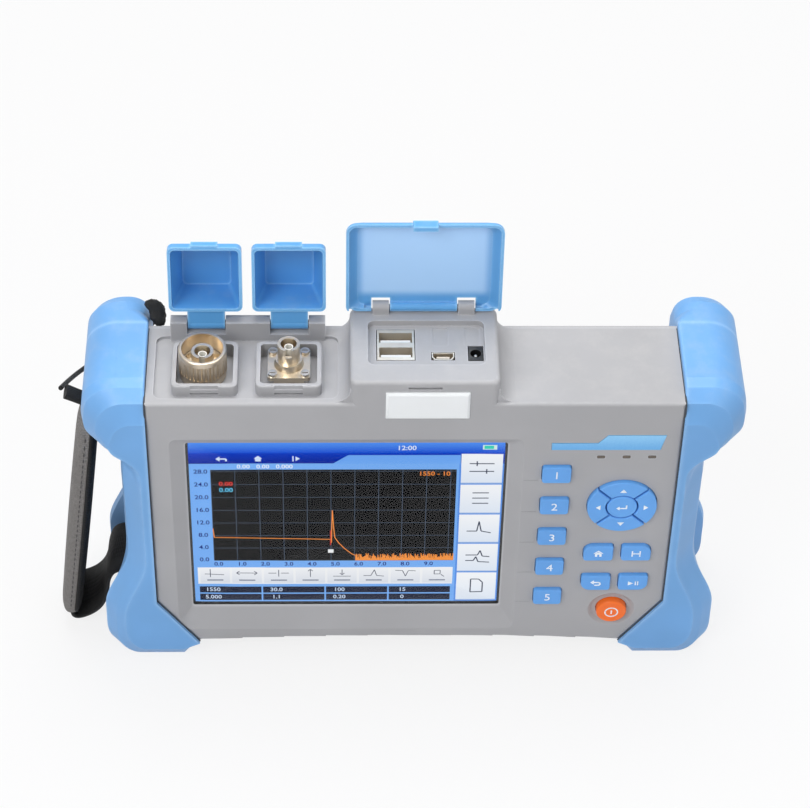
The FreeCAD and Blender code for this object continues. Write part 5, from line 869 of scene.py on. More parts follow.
# %% Sew the two rows
def stitch_row(turn, low, high, pitch=0.0026, share_on=0.62, lift=0.00012):
    """Starts and ends of stitches along the skin at one angle of the section."""
    count = int((high - low) * pad_length / pitch)
    begin = np.linspace(low, high, count, endpoint=False)
    end = begin + (high - low) / count * share_on
    first = pad_point(begin, np.full(count, turn))
    last = pad_point(end, np.full(count, turn))
    for spots in (first, last):
        spots[:, 0] += np.sign(math.cos(turn)) * lift * abs(math.cos(turn)) * 2
        spots[:, 1] += np.sign(math.sin(turn)) * lift
    return first, last


rows = [stitch_row(turn, 0.05, 0.95) for turn in (-1.62, 1.62)]
starts = np.vstack([first for first, last in rows])
ends = np.vstack([last for first, last in rows])
place_piece("pad_stitches", capsules("pad_stitches", starts, ends, 0.00022), "case",
            thread_cloth)

# %% [markdown]
# ## Webbing, loop and keeper
# Flat tape is modelled straight away rather than simulated: its line is a
# smooth curve through the corners of its route, and its section is a thin
# rounded bar.  The tail leaves the foot of the pad and tucks into the grip.

# %% Lay the webbing
def ribbon(name, corners, widths, thicks, middle_y, turns=40, each=12, power=0.35):
    """Flat tape in an upright plane: its width lies along Y, its thickness across its line."""
    route = np.array([(x, middle_y, z) for x, z in corners])
    line = curved_line(route, each)
    heading = np.gradient(line, axis=0)
    heading /= np.linalg.norm(heading, axis=1, keepdims=True)
    across = np.stack([-heading[:, 2], np.zeros(len(line)), heading[:, 0]], -1)
    share = np.linspace(0, 1, len(line))
    wide = np.interp(share, np.linspace(0, 1, len(widths)), widths) / 2
    thick = np.interp(share, np.linspace(0, 1, len(thicks)), thicks) / 2
    flat, tall = superellipse(turns, power)
    sideways = np.array([0.0, 1.0, 0.0])
    grid = line[:, None] + across[:, None] * (tall[None, :] * thick[:, None])[..., None]
    grid = grid + sideways * (flat[None, :] * wide[:, None])[..., None]
    return grid_piece(name, grid, size=(2 * widths[0] + 2 * thicks[0], line_length(line)))


# %% [markdown]
# ### Tail and loop
# The tail is a wide tape in a loose curve; the loop at the head is narrow and
# folded double, so it is thicker.  Both run in the pad's middle plane.

# %% Make the tail and the loop
strap_y = pad_middle_y
web_corners = ((-0.1314, 0.0079), (-0.1314, 0.0036), (-0.1226, 0.0074), (-0.1176, 0.0150),
               (-0.1162, 0.0280), (-0.1121, 0.0330), (-0.1029, 0.0330))
web_mesh = ribbon("strap_tape", web_corners, [0.025], [0.0018], strap_y)
place_piece("strap_tape", web_mesh, "case", web_cloth, ["strap_webbing"])

loop_corners = ((-0.1192, 0.1085), (-0.1198, 0.1122), (-0.1236, 0.1144), (-0.1276, 0.1166))
loop_mesh = ribbon("tape_loop", loop_corners, [0.0075, 0.0066, 0.0062],
                   [0.0030, 0.0024, 0.0026, 0.0034], strap_y, power=0.6)
place_piece("tape_loop", loop_mesh, "case", web_cloth, ["strap_loop"])

# %% [markdown]
# ### The keeper
# At the shoulder of the case the cord ends in a short folded tape.  Its outline
# is drawn in two sizes, across the case and up from the slope, rounded by the
# same curve as the route of the tape, and carried along the slope with soft ends.

# %% Fold the keeper
slope = math.sqrt(0.5)
keeper_at = np.array([0.0, 0.0030, 0.1348])
keeper_side = -0.0967
keeper_half = 0.0035
outline = np.array([(0.3, 0.05), (5.4, 0.05), (5.9, 4.5), (5.2, 7.6), (3.0, 9.6), (0.2, 9.8),
                    (-1.6, 8.6), (-1.6, 7.2), (0.3, 5.6)]) / 1000
closed = np.vstack([outline[-1:], outline, outline[:2]])
flat = curved_line(np.column_stack([closed, np.zeros(len(closed))]), 8)[8:-8][:, :2]
middle = flat.mean(0)
along = np.linspace(-1, 1, 29)
round_end = np.sqrt(np.clip(1 - np.clip((np.abs(along) - 0.72) / 0.30, 0, 1) ** 2, 0.04, 1))
turn = np.arctan2(flat[:, 1:2] - middle[1], flat[:, :1] - middle[0])
folds = (0.97 + 0.06 * np.cos(along * 7.0 + 5.0 * turn) + 0.05 * np.cos(along * 4.0 - 9.0 * turn)
         + 0.03 * np.cos(along * 17.0 + 2.0 * turn))
swell = (round_end[:, None] * folds.T)[..., None]
ring = middle + (flat - middle)[None] * swell
over, beside = ring[..., 1], ring[..., 0]
run = (along * keeper_half)[:, None]
grid = np.stack([keeper_side + beside, keeper_at[1] + (run + over) * slope,
                 keeper_at[2] + (over - run) * slope], -1)
keeper_mesh = grid_piece("cord_keeper", grid, size=(0.034, 0.007))
place_piece("cord_keeper", keeper_mesh, "case", web_cloth, ["strap_keeper"])

# %% [markdown]
# ### The cord
# A thin cord runs from the loop round behind the rubber to its keeper.  It is a
# NURBS spline whose control points are the corners of the route; the order is
# set after the points, so that the line is smooth and not straight runs.

# %% Run the cord
cord_route = ((-0.1294, -0.0113, 0.1171), (-0.1280, -0.0035, 0.1126), (-0.1248, 0.0055, 0.1086),
              (-0.1208, 0.0145, 0.1046), (-0.1129, 0.0215, 0.1036), (-0.1039, 0.0215, 0.1091),
              (-0.0948, 0.0232, 0.1211), (-0.0943, 0.0150, 0.1277), (-0.0943, 0.0080, 0.1347))
cord_curve = bpy.data.curves.new("strap_string", "CURVE")
cord_curve.dimensions = "3D"
spline = cord_curve.splines.new("NURBS")
spline.points.add(len(cord_route) - 1)
for point, spot in zip(spline.points, cord_route):
    point.co = (*spot, 1.0)
spline.order_u = 3
spline.use_endpoint_u = True
spline.resolution_u = 10
cord_curve.bevel_depth = 0.0009
cord_curve.bevel_resolution = 4
cord_curve.use_fill_caps = True
cord_curve.materials.append(cord_cloth)
cord = bpy.data.objects.new("strap_string", cord_curve)
bpy.context.scene.collection.objects.link(cord)
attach(cord, "case")
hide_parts("strap_cord")
print("cord with", len(cord_route), "control points")

# %% [markdown]
# ## Flat prints
# Symbols and the display's picture are thin flat shapes.  A symbol is a list of
# outlines on the sheet, in millimetres; one helper stands it up on the face of
# a key and gives it the thickness of a print.

# %% Stand flat shapes on the face
def flat_mesh(name, outlines, centre_x, centre_z, front_y, thick=0.00006):
    """Closed slabs from outlines (x, z) in millimetres, standing on the plane y = front_y."""
    points, faces = [], []
    for line in outlines:
        line = np.asarray(line, float) / 1000
        if ((np.roll(line[:, 0], -1) - line[:, 0]) * (np.roll(line[:, 1], -1) + line[:, 1])).sum() > 0:
            line = line[::-1]
        count, first = len(line), len(points)
        x, z = centre_x + line[:, 0], centre_z + line[:, 1]
        points += np.column_stack([x, np.full(count, front_y - thick), z]).tolist()
        points += np.column_stack([x, np.full(count, front_y), z]).tolist()
        k = np.arange(count)
        after = np.roll(k, -1)
        faces.append((first + k).tolist())
        faces.append((first + count + k[::-1]).tolist())
        faces += (first + np.stack([k, k + count, after + count, after], -1)).tolist()
    mesh = bpy.data.meshes.new(name)
    mesh.from_pydata(points, [], faces)
    return mesh


def arc_points(radius, start, end, count, centre=(0.0, 0.0)):
    """Points on a circle between two angles in degrees."""
    angle = np.radians(np.linspace(start, end, count))
    return np.column_stack([centre[0] + radius * np.cos(angle),
                            centre[1] + radius * np.sin(angle)])


def ring_strips(inner, outer, start=0.0, end=360.0, pieces=32):
    """A ring or part of one as short strips, so that no outline needs a hole."""
    near = arc_points(inner, start, end, pieces + 1)
    far = arc_points(outer, start, end, pieces + 1)
    return [np.array([near[k], far[k], far[k + 1], near[k + 1]]) for k in range(pieces)]


def rectangle(left, right, low, high):
    """The four corners of an upright rectangle."""
    return np.array([(left, low), (right, low), (right, high), (left, high)])


# %% [markdown]
# ### Numbers
# The soft keys carry the plain numbers 1 to 5.  A text object makes good
# numerals; it becomes a mesh first and is then stood up like the other prints.

# %% Write a number
def numerals(text, size, bold=0.0):
    """Points (x, z) and faces of a text, centred, about size high; bold thickens its strokes."""
    curve = bpy.data.curves.new("numeral", "FONT")
    curve.body = text
    curve.size = size
    curve.align_x = "CENTER"
    curve.align_y = "CENTER"
    curve.resolution_u = 3
    curve.offset = bold
    holder = bpy.data.objects.new("numeral", curve)
    bpy.context.scene.collection.objects.link(holder)
    bpy.context.view_layer.update()
    mesh = bpy.data.meshes.new_from_object(holder)
    spots = np.zeros(len(mesh.vertices) * 3)
    mesh.vertices.foreach_get("co", spots)
    faces = [list(face.vertices) for face in mesh.polygons]
    bpy.data.objects.remove(holder)
    bpy.data.curves.remove(curve)
    bpy.data.meshes.remove(mesh)
    return spots.reshape(-1, 3)[:, :2], faces


# %% [markdown]
# ### Symbols on the keys
# Every key shows one plain sign: arrows on the four direction keys, a return
# arrow in the middle, a house, two cursor lines, a back arrow, a run and pause
# sign, and the usual ring and bar on the power key.  The print is a white ink
# that has worn a little.

# %% Mix the ink
ink, tree, shader = fresh_material("white ink")
where = put(tree, "ShaderNodeTexCoord").outputs["Object"]
rub = put(tree, "ShaderNodeTexNoise", {"Vector": where, "Scale": 1400.0, "Detail": 3.0})
tree.links.new(blend_colours(tree, stepped(tree, rub.outputs[0], 0.55, 0.75),
                             paint(238, 243, 248), paint(186, 208, 232)),
               shader.inputs["Base Color"])
shader.inputs["Roughness"].default_value = 0.5
print("ink made:", ink.name)

# %% [markdown]
# ### The signs' outlines
# A sign is a few plain outlines side by side, so that no face needs a hole.  The
# arrow is drawn once and turned for its four keys.

# %% Draw the signs
arrow = np.array([(-1.25, -0.75), (1.25, -0.75), (0.0, 0.95)])


def turned(outline, degrees):
    """The outline turned about its middle."""
    c, s = math.cos(math.radians(degrees)), math.sin(math.radians(degrees))
    return outline @ np.array([(c, s), (-s, c)])


house = [np.array([(-1.9, 0.1), (0.0, 1.8), (1.9, 0.1), (1.3, 0.1), (0.0, 1.25), (-1.3, 0.1)]),
         np.array([(-1.25, -1.5), (-0.4, -1.5), (-0.4, 0.65), (-1.25, -0.05)]),
         np.array([(0.4, -1.5), (1.25, -1.5), (1.25, -0.05), (0.4, 0.65)]),
         np.array([(-0.4, -0.4), (0.4, -0.4), (0.4, 0.65), (0.0, 0.98), (-0.4, 0.65)])]
cursors = [rectangle(-1.7, -1.2, -1.5, 1.5), rectangle(1.2, 1.7, -1.5, 1.5),
           rectangle(-0.75, 0.75, -0.2, 0.2),
           np.array([(-0.75, -0.65), (-0.75, 0.65), (-1.15, 0.0)]),
           np.array([(0.75, -0.65), (1.15, 0.0), (0.75, 0.65)])]
back = ([np.array([(-2.0, 0.55), (-0.7, -0.65), (-0.7, 1.75)]),
         rectangle(-0.7, 0.9, 0.25, 0.85)]
        + [part + np.array([0.9, -0.25]) for part in ring_strips(0.5, 1.1, -90, 90, 12)]
        + [rectangle(-0.4, 0.9, -1.35, -0.75)])
run_pause = [np.array([(-1.9, -1.1), (0.1, 0.0), (-1.9, 1.1)]), rectangle(0.7, 1.15, -1.05, 1.05),
             rectangle(1.6, 2.05, -1.05, 1.05)]
enter_sign = [np.array([(-2.1, -0.4), (-0.9, -1.4), (-0.9, 0.6)]),
              rectangle(-0.9, 1.9, -0.7, -0.1), rectangle(1.35, 1.9, -0.1, 1.2)]
power_sign = ring_strips(2.15, 2.65, 0, 360, 40) + [rectangle(-0.25, 0.25, -1.0, 1.1)]
signs = {"key_up": [arrow], "key_left": [turned(arrow, 90)], "key_down": [turned(arrow, 180)],
         "key_right": [turned(arrow, 270)], "key_home": house, "key_marker": cursors,
         "key_escape": back, "key_run": run_pause, "key_enter": enter_sign,
         "key_power": power_sign}
print(len(signs), "signs drawn")

# %% [markdown]
# ### Print the keys
# Each sign rides on its own key, so it goes in with it when the key is pressed.

# %% Print the signs
for key, outlines in signs.items():
    low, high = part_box(key)
    x, z = (low.x + high.x) / 2, (low.z + high.z) / 2
    mesh = flat_mesh(key + "_sign", outlines, x, z, low.y)
    place_piece(key + "_sign", mesh, key + "_body", ink)

# %% [markdown]
# The numbers are flat text, and a live Solidify gives them the thickness of the
# ink, since text has holes that the slabs above can't have.

# %% Print the numbers
for number in range(1, 6):
    key = f"key_f{number}"
    low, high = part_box(key)
    spots, faces = numerals(str(number), 5.2)
    mesh = bpy.data.meshes.new(key + "_sign")
    x = (low.x + high.x) / 2 + spots[:, 0] / 1000
    z = (low.z + high.z) / 2 + spots[:, 1] / 1000
    flat_points = np.column_stack([x, np.full(len(x), low.y - 0.00003), z])
    mesh.from_pydata(flat_points.tolist(), [], faces)
    piece = place_piece(key + "_sign", mesh, key + "_body", ink)
    body = piece.modifiers.new("print thickness", "SOLIDIFY")
    body.thickness = 0.00006
    body.offset = 0.0

# %% [markdown]
# ## The display
# The picture on the display is a sheet of coloured rectangles, laid one a hair in
# front of another, with their colours in a face-corner attribute.  One material
# reads the attribute and gives it off as light, since a lit panel glows.  The
# words of the real screen are left out; only plain numbers are written.

# %% Gather the rectangles of the picture
lit_left, lit_right, lit_low, lit_high = -0.0821, 0.0331, 0.0266, 0.1130
lit_width, lit_height = lit_right - lit_left, lit_high - lit_low
patches = []


def patch(left, right, low, high, colour, layer, top=None):
    """A rectangle in shares of the lit area; top is its colour at the upper edge."""
    corners = [(left, low), (right, low), (right, high), (left, high)]
    patches.append((corners, [colour, colour, top or colour, top or colour], layer))


def patch_shape(corners, colour, layer):
    """Any four corners in shares of the lit area."""
    patches.append((corners, [colour] * 4, layer))


sky = (120, 178, 250)
patch(0.0, 1.0, 0.0, 1.0, sky, 0)
patch(0.0, 1.0, 0.935, 1.0, (16, 74, 214), 1, (84, 150, 248))
patch(0.0, 1.0, 0.875, 0.937, (4, 34, 150), 1, (12, 60, 196))
patch_shape([(0.455, 0.873), (0.862, 0.873), (0.862, 0.925), (0.505, 0.925)], (112, 172, 250), 2)
patch(0.93, 0.975, 0.958, 0.985, (214, 240, 236), 2)
patch(0.935, 0.965, 0.962, 0.981, (60, 214, 190), 3)
patch(0.068, 0.850, 0.268, 0.838, (6, 7, 10), 1)
for column in range(11):
    x = 0.068 + 0.0764 * column
    patch(x - 0.0011, x + 0.0011, 0.268, 0.838, (70, 84, 104), 2)
for row in range(8):
    z = 0.268 + 0.0800 * row
    patch(0.068, 0.850, z - 0.0015, z + 0.0015, (70, 84, 104), 2)
patch(0.012, 0.850, 0.115, 0.222, (236, 240, 246), 1, (250, 251, 252))
for row, low in enumerate((0.058, 0.010)):
    for column in range(4):
        x = 0.016 + 0.2085 * column
        patch(x, x + 0.203, low, low + 0.040, (10, 22, 52), 2)
patch(0.858, 1.0, 0.0, 0.935, (88, 148, 236), 1)
print(len(patches), "rectangles for the ground of the picture")

# %% [markdown]
# ### Signs and trace
# The trace is a level run, one reflection with its tail, and noise.  A thick
# line is a chain of slanted rectangles, which needs no curve object; the noise
# is a row of thin bars from a seeded generator.

# %% Draw the title signs and the trace
def stroke(line, width, colour, layer):
    """A line of slanted rectangles through points given in shares of the lit area."""
    spots = np.asarray(line, float) * (lit_width, lit_height)
    for first, last in zip(spots, spots[1:]):
        run = (last - first) / np.linalg.norm(last - first)
        side = np.array([-run[1], run[0]]) * width * lit_width / 2
        corners = np.array([first - side, last - side, last + side, first + side])
        patch_shape((corners / (lit_width, lit_height)).tolist(), colour, layer)


pale, slate, flame = (214, 232, 255), (62, 70, 92), (250, 150, 62)
patch_shape([(0.085, 0.903), (0.098, 0.888), (0.098, 0.918), (0.085, 0.904)], pale, 3)
stroke([(0.096, 0.903), (0.118, 0.903), (0.118, 0.889)], 0.006, pale, 3)
patch_shape([(0.205, 0.904), (0.219, 0.922), (0.233, 0.904), (0.219, 0.904)], pale, 3)
patch(0.210, 0.228, 0.888, 0.905, pale, 3)
stroke([(0.330, 0.888), (0.330, 0.920)], 0.004, pale, 3)
patch_shape([(0.338, 0.890), (0.352, 0.904), (0.338, 0.918), (0.338, 0.904)], pale, 3)

level_run = [(0.0, 0.36), (0.004, 0.262), (0.485, 0.238), (0.490, 0.20), (0.494, 0.56),
             (0.499, 0.38), (0.504, 0.26), (0.520, 0.20), (0.545, 0.135), (0.575, 0.075),
             (0.60, 0.045)]
plot_left, plot_low, plot_wide, plot_tall = 0.068, 0.268, 0.782, 0.570
trace = [(plot_left + plot_wide * x, plot_low + plot_tall * z) for x, z in level_run]
stroke(trace, 0.0030, flame, 4)
noise = np.random.default_rng(7)
for k, height in enumerate(0.020 + 0.060 * noise.random(150)):
    x = plot_left + plot_wide * (0.590 + 0.410 * k / 150)
    patch(x, x + 0.0030, plot_low, plot_low + plot_tall * height, flame, 4)
patch(0.447, 0.450, 0.368, 0.460, (214, 40, 34), 5)
patch(0.440, 0.458, 0.318, 0.340, (244, 246, 248), 5)
print(len(patches), "rectangles with the trace")

# %% [markdown]
# ### Tool row and menu
# Eight tools and five menu fields carry plain line signs.  Each sign is written
# in shares of its own field, so one table serves every place.

# %% Draw the tool row and the menu
tool_signs = [
    [[(0.34, 0.40), (0.34, 0.95)], [(0.15, 0.62), (0.80, 0.56)]],
    [[(0.15, 0.68), (0.85, 0.68)], [(0.25, 0.80), (0.15, 0.68), (0.25, 0.56)],
     [(0.75, 0.80), (0.85, 0.68), (0.75, 0.56)]],
    [[(0.15, 0.68), (0.42, 0.68)], [(0.85, 0.68), (0.58, 0.68)], [(0.5, 0.45), (0.5, 0.9)]],
    [[(0.50, 0.42), (0.50, 0.94)], [(0.42, 0.82), (0.50, 0.94), (0.58, 0.82)]],
    [[(0.20, 0.46), (0.80, 0.46)], [(0.50, 0.92), (0.50, 0.56)],
     [(0.42, 0.68), (0.50, 0.56), (0.58, 0.68)]],
    [[(0.15, 0.50), (0.40, 0.50), (0.52, 0.90), (0.60, 0.50), (0.85, 0.46)]],
    [[(0.15, 0.86), (0.40, 0.84), (0.50, 0.46), (0.60, 0.84), (0.85, 0.82)]],
    [[(0.40, 0.60), (0.40, 0.84), (0.60, 0.84), (0.60, 0.60), (0.40, 0.60)],
     [(0.62, 0.58), (0.74, 0.42)]],
]
for column, lines in enumerate(tool_signs):
    left = 0.020 + 0.1045 * column
    patch(left, left + 0.0965, 0.122, 0.216, (222, 228, 238), 2, (246, 248, 252))
    for line in lines:
        stroke([(left + 0.0965 * x, 0.122 + 0.094 * z) for x, z in line], 0.0026, slate, 3)
    patch(left + 0.022, left + 0.075, 0.136, 0.144, (128, 136, 156), 3)

menu_signs = [
    [[(0.2, 0.68), (0.8, 0.68)], [(0.2, 0.42), (0.8, 0.42)], [(0.38, 0.60), (0.38, 0.76)],
     [(0.62, 0.34), (0.62, 0.50)]],
    [[(0.3, 0.72), (0.7, 0.72)], [(0.3, 0.54), (0.7, 0.54)], [(0.3, 0.36), (0.7, 0.36)]],
    [[(0.2, 0.42), (0.45, 0.42), (0.5, 0.76), (0.56, 0.42), (0.8, 0.36)]],
    [[(0.2, 0.60), (0.5, 0.60), (0.56, 0.76), (0.62, 0.56), (0.8, 0.54)],
     [(0.2, 0.40), (0.4, 0.40), (0.46, 0.54), (0.52, 0.36), (0.8, 0.34)]],
    [[(0.36, 0.30), (0.36, 0.76), (0.56, 0.76), (0.66, 0.64), (0.66, 0.30), (0.36, 0.30)]],
]
for row, lines in enumerate(reversed(menu_signs)):
    low = 0.006 + 0.1865 * row
    patch(0.864, 0.995, low, low + 0.180, (226, 236, 250), 2, (250, 252, 255))
    patch(0.864, 0.995, low, low + 0.006, (150, 180, 226), 3)
    for line in lines:
        stroke([(0.864 + 0.131 * x, low + 0.180 * z) for x, z in line], 0.0042, slate, 4)
print(len(patches), "rectangles in the picture")

# %% [markdown]
# ### Numbers of the picture
# The axes and the read-outs are plain numbers.  They are flat text like the
# keys' numbers, and lie in the same layer as the trace.

# %% Write the axis numbers
number_points, number_faces, number_colours = [], [], []


def write(text, size, share_x, share_z, colour, layer):
    """Numerals at a place given in shares of the lit area."""
    spots, faces = numerals(text, size, 0.05)
    first = sum(len(part) for part in number_points)
    x = lit_left + lit_width * share_x + spots[:, 0] / 1000
    z = lit_low + lit_height * share_z + spots[:, 1] / 1000
    number_points.append(np.column_stack([x, np.full(len(x), float(layer)), z]))
    number_faces.extend([[first + k for k in face] for face in faces])
    number_colours.extend([colour] * sum(len(face) for face in faces))


for row in range(8):
    write(f"{4 * row}.0", 3.0, 0.036, 0.274 + 0.0790 * row, (8, 40, 128), 4)
for column in range(10):
    write(f"{column}.0", 2.8, 0.082 + 0.0764 * column, 0.245, (8, 40, 128), 4)
for row, texts in enumerate((("1550", "30.0", "100", "15"), ("5.000", "1.1", "0.20", "0"))):
    for column, text in enumerate(texts):
        write(text, 2.8, 0.060 + 0.2085 * column, 0.078 - 0.048 * row, (206, 222, 246), 4)
write("12:00", 3.2, 0.690, 0.967, (226, 238, 255), 4)
write("0.00", 3.0, 0.115, 0.752, (232, 60, 52), 4)
write("0.00", 3.0, 0.115, 0.714, (96, 200, 244), 4)
write("1550 - 10", 3.0, 0.780, 0.812, (240, 140, 56), 4)
write("0.00   0.00   0.000", 2.8, 0.240, 0.856, (236, 244, 255), 4)
print(len(number_points), "numbers written")

# %% [markdown]
# ### One mesh for the picture
# All rectangles and numbers become one mesh with a colour at each face corner.
# Each layer lies two hundredths of a millimetre before the last, so a shape never
# lies in one plane with the ground that it covers.

# %% Put the picture behind the glass
lens_low, lens_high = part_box("display_lens")
picture_y = lens_high.y - 0.00010
layer_step = 0.00002
corners = np.array([part[0] for part in patches])
layers = np.array([part[2] for part in patches], float)
tints = np.array([part[1] for part in patches], float)
x = lit_left + lit_width * corners[..., 0]
z = lit_low + lit_height * corners[..., 1]
y = np.repeat(picture_y - layers[:, None] * layer_step, 4, 1)
points = np.stack([x, y, z], -1).reshape(-1, 3)
faces = np.arange(len(points)).reshape(-1, 4).tolist()
written = np.vstack(number_points)
written[:, 1] = picture_y - written[:, 1] * layer_step
faces += [[len(points) + k for k in face] for face in number_faces]
points = np.vstack([points, written])
tints = np.vstack([tints.reshape(-1, 3), np.array(number_colours, float)])
mesh = bpy.data.meshes.new("screen_picture")
mesh.from_pydata(points.tolist(), [], faces)
colours = mesh.color_attributes.new("picture", "FLOAT_COLOR", "CORNER")
share = tints / 255
linear = np.where(share > 0.04045, ((share + 0.055) / 1.055) ** 2.4, share / 12.92)
colours.data.foreach_set("color", np.column_stack([linear, np.ones(len(linear))]).ravel())
print(len(faces), "faces in the picture")

# %% [markdown]
# ### The picture's light
# A display gives its own light, so the colours go to emission over a black body.
# A slow noise makes the backlight a little uneven.

# %% Light the picture
material, tree, shader = fresh_material("lit picture")
ink_colour = put(tree, "ShaderNodeAttribute", attribute_name="picture").outputs["Color"]
where = put(tree, "ShaderNodeTexCoord").outputs["Object"]
backlight = put(tree, "ShaderNodeTexNoise", {"Vector": where, "Scale": 14.0, "Detail": 1.0})
brightening = reckon(tree, "ADD", reckon(tree, "MULTIPLY", backlight.outputs[0], 0.16), 0.92)
shown = put(tree, "ShaderNodeVectorMath", {0: ink_colour, 3: brightening}, operation="SCALE").outputs[0]
tree.links.new(shown, shader.inputs["Emission Color"])
shader.inputs["Emission Strength"].default_value = 0.92
shader.inputs["Base Color"].default_value = (0.0, 0.0, 0.0, 1.0)
shader.inputs["Roughness"].default_value = 0.6
shader.inputs["Specular IOR Level"].default_value = 0.0
place_piece("screen_picture", mesh, "case", material)

# %% [markdown]
# ### The display glass
# The machined pane is too thick to leave room for the picture.  A pane about half
# as thick, with softened edges and the same front face, takes its place.

# %% Set the glass in
glass_front, glass_back = lens_low.y, lens_low.y + 0.0005
half_x, half_z = (lens_high.x - lens_low.x) / 2, (lens_high.z - lens_low.z) / 2
mid_x, mid_z = (lens_high.x + lens_low.x) / 2, (lens_high.z + lens_low.z) / 2
wide, tall = superellipse(96, 0.08)
stations = np.array([glass_back, glass_front + 0.0002, glass_front])
shrink = np.array([0.0, 0.0, 0.0002])
grid = np.stack([mid_x + (half_x - shrink[:, None]) * wide[None, :],
                 np.repeat(stations[:, None], 96, 1),
                 mid_z + (half_z - shrink[:, None]) * tall[None, :]], -1)
glass_mesh = grid_piece("display_pane", grid)
place_piece("display_pane", glass_mesh, "case", finishes["display_glass"],
            ["display_lens"])

# %% [markdown]
# ## Seams
# The shade in the gap where the rubber meets the grey case is painted as a dark line.  Two ways are a
# dark band in the finish and a thin bead on the seam; the bead keeps its width from
# every side, so it is used.

# %% Lay the seams
face_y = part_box("front_housing")[0].y
side_x, toe_x = 0.0967, 0.0810
top_z, bend_z, toe_z = 0.1368, 0.0315, 0.0082
seam_shade, tree, shader = fresh_material("seam shade")
where = put(tree, "ShaderNodeTexCoord").outputs["Object"]
# The bead is painted shade of the gap; a noise varies its darkness.
shade_mottle = put(tree, "ShaderNodeTexNoise", {"Vector": where, "Scale": 900.0, "Detail": 3.0})
tree.links.new(blend_colours(tree, shade_mottle.outputs[0], paint(44, 46, 50), paint(86, 92, 100)),
               shader.inputs["Base Color"])
shader.inputs["Roughness"].default_value = 0.8


def seam_strip(name, line, radius=0.00032):
    """A thin round bead along straight runs of a seam."""
    line = np.asarray(line, float)
    return tube(name, line, radius, turns=8, uv_round=0.002)


def dense(corners, step=0.002):
    """The corner points with evenly spaced points between them."""
    corners = np.asarray(corners, float)
    parts = [corners[:1]]
    for first, last in zip(corners, corners[1:]):
        count = max(2, int(np.linalg.norm(last - first) / step))
        parts.append(first + (last - first) * np.linspace(0, 1, count + 1)[1:, None])
    return np.vstack(parts)


for name, side in (("left_seam", -1), ("right_seam", 1)):
    corners = [(side * side_x, -0.0005, top_z), (side * side_x, face_y + 0.0012, top_z),
               (side * side_x, face_y, top_z - 0.0012), (side * side_x, face_y, bend_z),
               (side * toe_x, face_y, toe_z)]
    place_piece(name, seam_strip(name, dense(corners)), "case", seam_shade)

# %% [markdown]
# ### Guide lines
# Five faint lines lead from the display to the soft keys.  They are slabs a
# twentieth of a millimetre proud, as a moulded line is.

# %% Lay the guide lines
line_shade = moulded("guide line", paint(150, 151, 154), paint(196, 197, 200), 0.5)
guide_lines = []
for number in range(1, 6):
    low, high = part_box(f"key_f{number}")
    guide_lines.append(rectangle(40.2, low.x * 1000 - 1.2, low.z * 1000 - 0.15,
                                 low.z * 1000 + 0.15))
mesh = flat_mesh("guide_lines", guide_lines, 0.0, 0.0, face_y, thick=0.00005)
place_piece("guide_lines", mesh, "case", line_shade)

# %% [markdown]
# ## Floor
# The tester stands on a white floor.  A brighter lamp would bleach the tester
# too, so the floor gives off light that only camera, mirror and glass rays see,
# and stays white without lighting anything.

# %% Floor
floor_mesh = bpy.data.meshes.new("studio_floor")
floor_mesh.from_pydata([(-3, -3, 0), (3, -3, 0), (3, 3, 0), (-3, 3, 0)], [], [(0, 1, 2, 3)])
floor = bpy.data.objects.new("studio_floor", floor_mesh)
bpy.context.scene.collection.objects.link(floor)
material, tree, shader = fresh_material("studio floor")
shader.inputs["Base Color"].default_value = (0.66, 0.66, 0.67, 1.0)
shader.inputs["Roughness"].default_value = 0.6
ray = put(tree, "ShaderNodeLightPath")
seen = reckon(tree, "MAXIMUM", ray.outputs["Is Camera Ray"],
              reckon(tree, "MAXIMUM", ray.outputs["Is Glossy Ray"],
                     ray.outputs["Is Transmission Ray"]))
white = put(tree, "ShaderNodeEmission", {"Color": (1.0, 1.0, 1.0, 1.0), "Strength": 1.0})
mix = put(tree, "ShaderNodeMixShader", {0: reckon(tree, "MULTIPLY", seen, 0.82),
                                        1: shader.outputs[0], 2: white.outputs[0]})
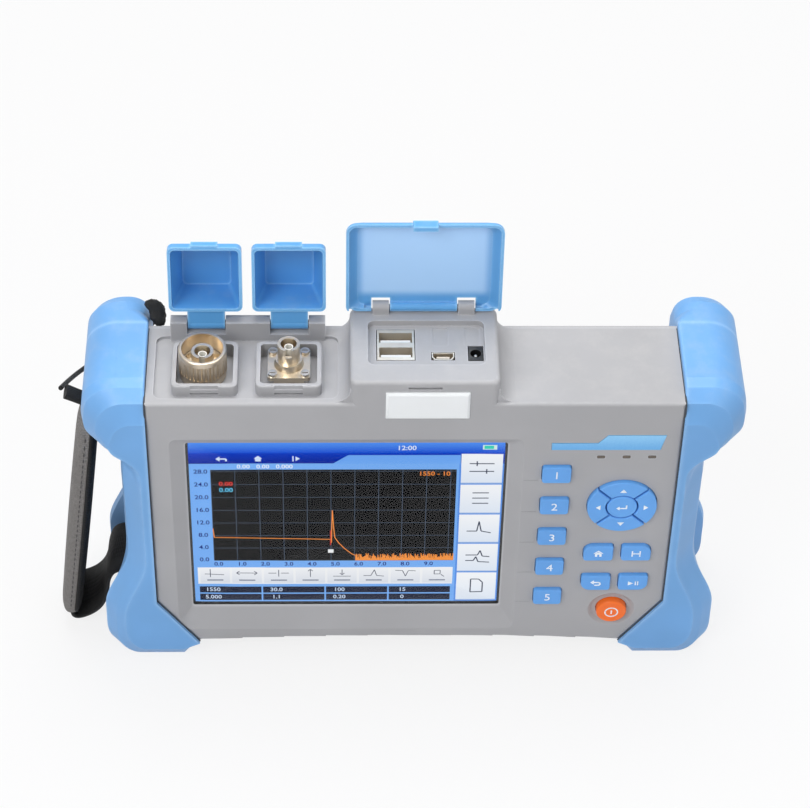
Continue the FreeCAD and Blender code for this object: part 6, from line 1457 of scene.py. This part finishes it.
tree.links.new(mix.outputs[0], tree.nodes["Material Output"].inputs["Surface"])
floor_mesh.materials.append(material)
print("floor", floor.dimensions.x, "m wide")

# %% [markdown]
# ## Sky
# A plain pale sky fills the shadows.  It is brighter for the camera than for the
# surfaces, so the background is white and the shading keeps its depth.

# %% Sky
sky_world = bpy.data.worlds.new("studio sky")
bpy.context.scene.world = sky_world
sky_world.use_nodes = True
tree = sky_world.node_tree
background = tree.nodes["Background"]
ray = put(tree, "ShaderNodeLightPath")
seen = reckon(tree, "MAXIMUM", ray.outputs["Is Camera Ray"], ray.outputs["Is Transmission Ray"])
background.inputs["Color"].default_value = (1.0, 1.0, 1.0, 1.0)
tree.links.new(reckon(tree, "ADD", reckon(tree, "MULTIPLY", seen, 0.55), 0.45),
               background.inputs["Strength"])
print("sky ready")

# %% [markdown]
# ## Lamps
# Three large square lamps give soft shadows: one from the front left, a weak one
# from the right, and a strong one above, so the top is lighter than the face.

# %% Lamps
def soft_lamp(name, spot, aim_at, width, power, warmth=(1.0, 1.0, 1.0)):
    """A square lamp that faces a point."""
    data = bpy.data.lights.new(name, "AREA")
    data.size = width
    data.energy = power
    data.color = warmth
    lamp = bpy.data.objects.new(name, data)
    bpy.context.scene.collection.objects.link(lamp)
    from_lamp = np.array(aim_at) - np.array(spot)
    from_lamp = from_lamp / np.linalg.norm(from_lamp)
    sideways = np.cross(from_lamp, (0.0, 0.0, 1.0))
    sideways /= np.linalg.norm(sideways)
    upward = np.cross(sideways, from_lamp)
    turn = Matrix.Identity(4)
    for row in range(3):
        turn[row][0], turn[row][1] = sideways[row], upward[row]
        turn[row][2], turn[row][3] = -from_lamp[row], spot[row]
    lamp.matrix_world = turn
    return lamp


soft_lamp("key_lamp", (-0.75, -0.95, 1.25), (0.0, 0.0, 0.08), 0.9, 13.0)
soft_lamp("fill_lamp", (1.1, -0.7, 0.8), (0.0, 0.0, 0.08), 0.9, 3.0)
soft_lamp("top_lamp", (0.0, 0.35, 1.6), (0.0, 0.0, 0.1), 0.9, 17.0)
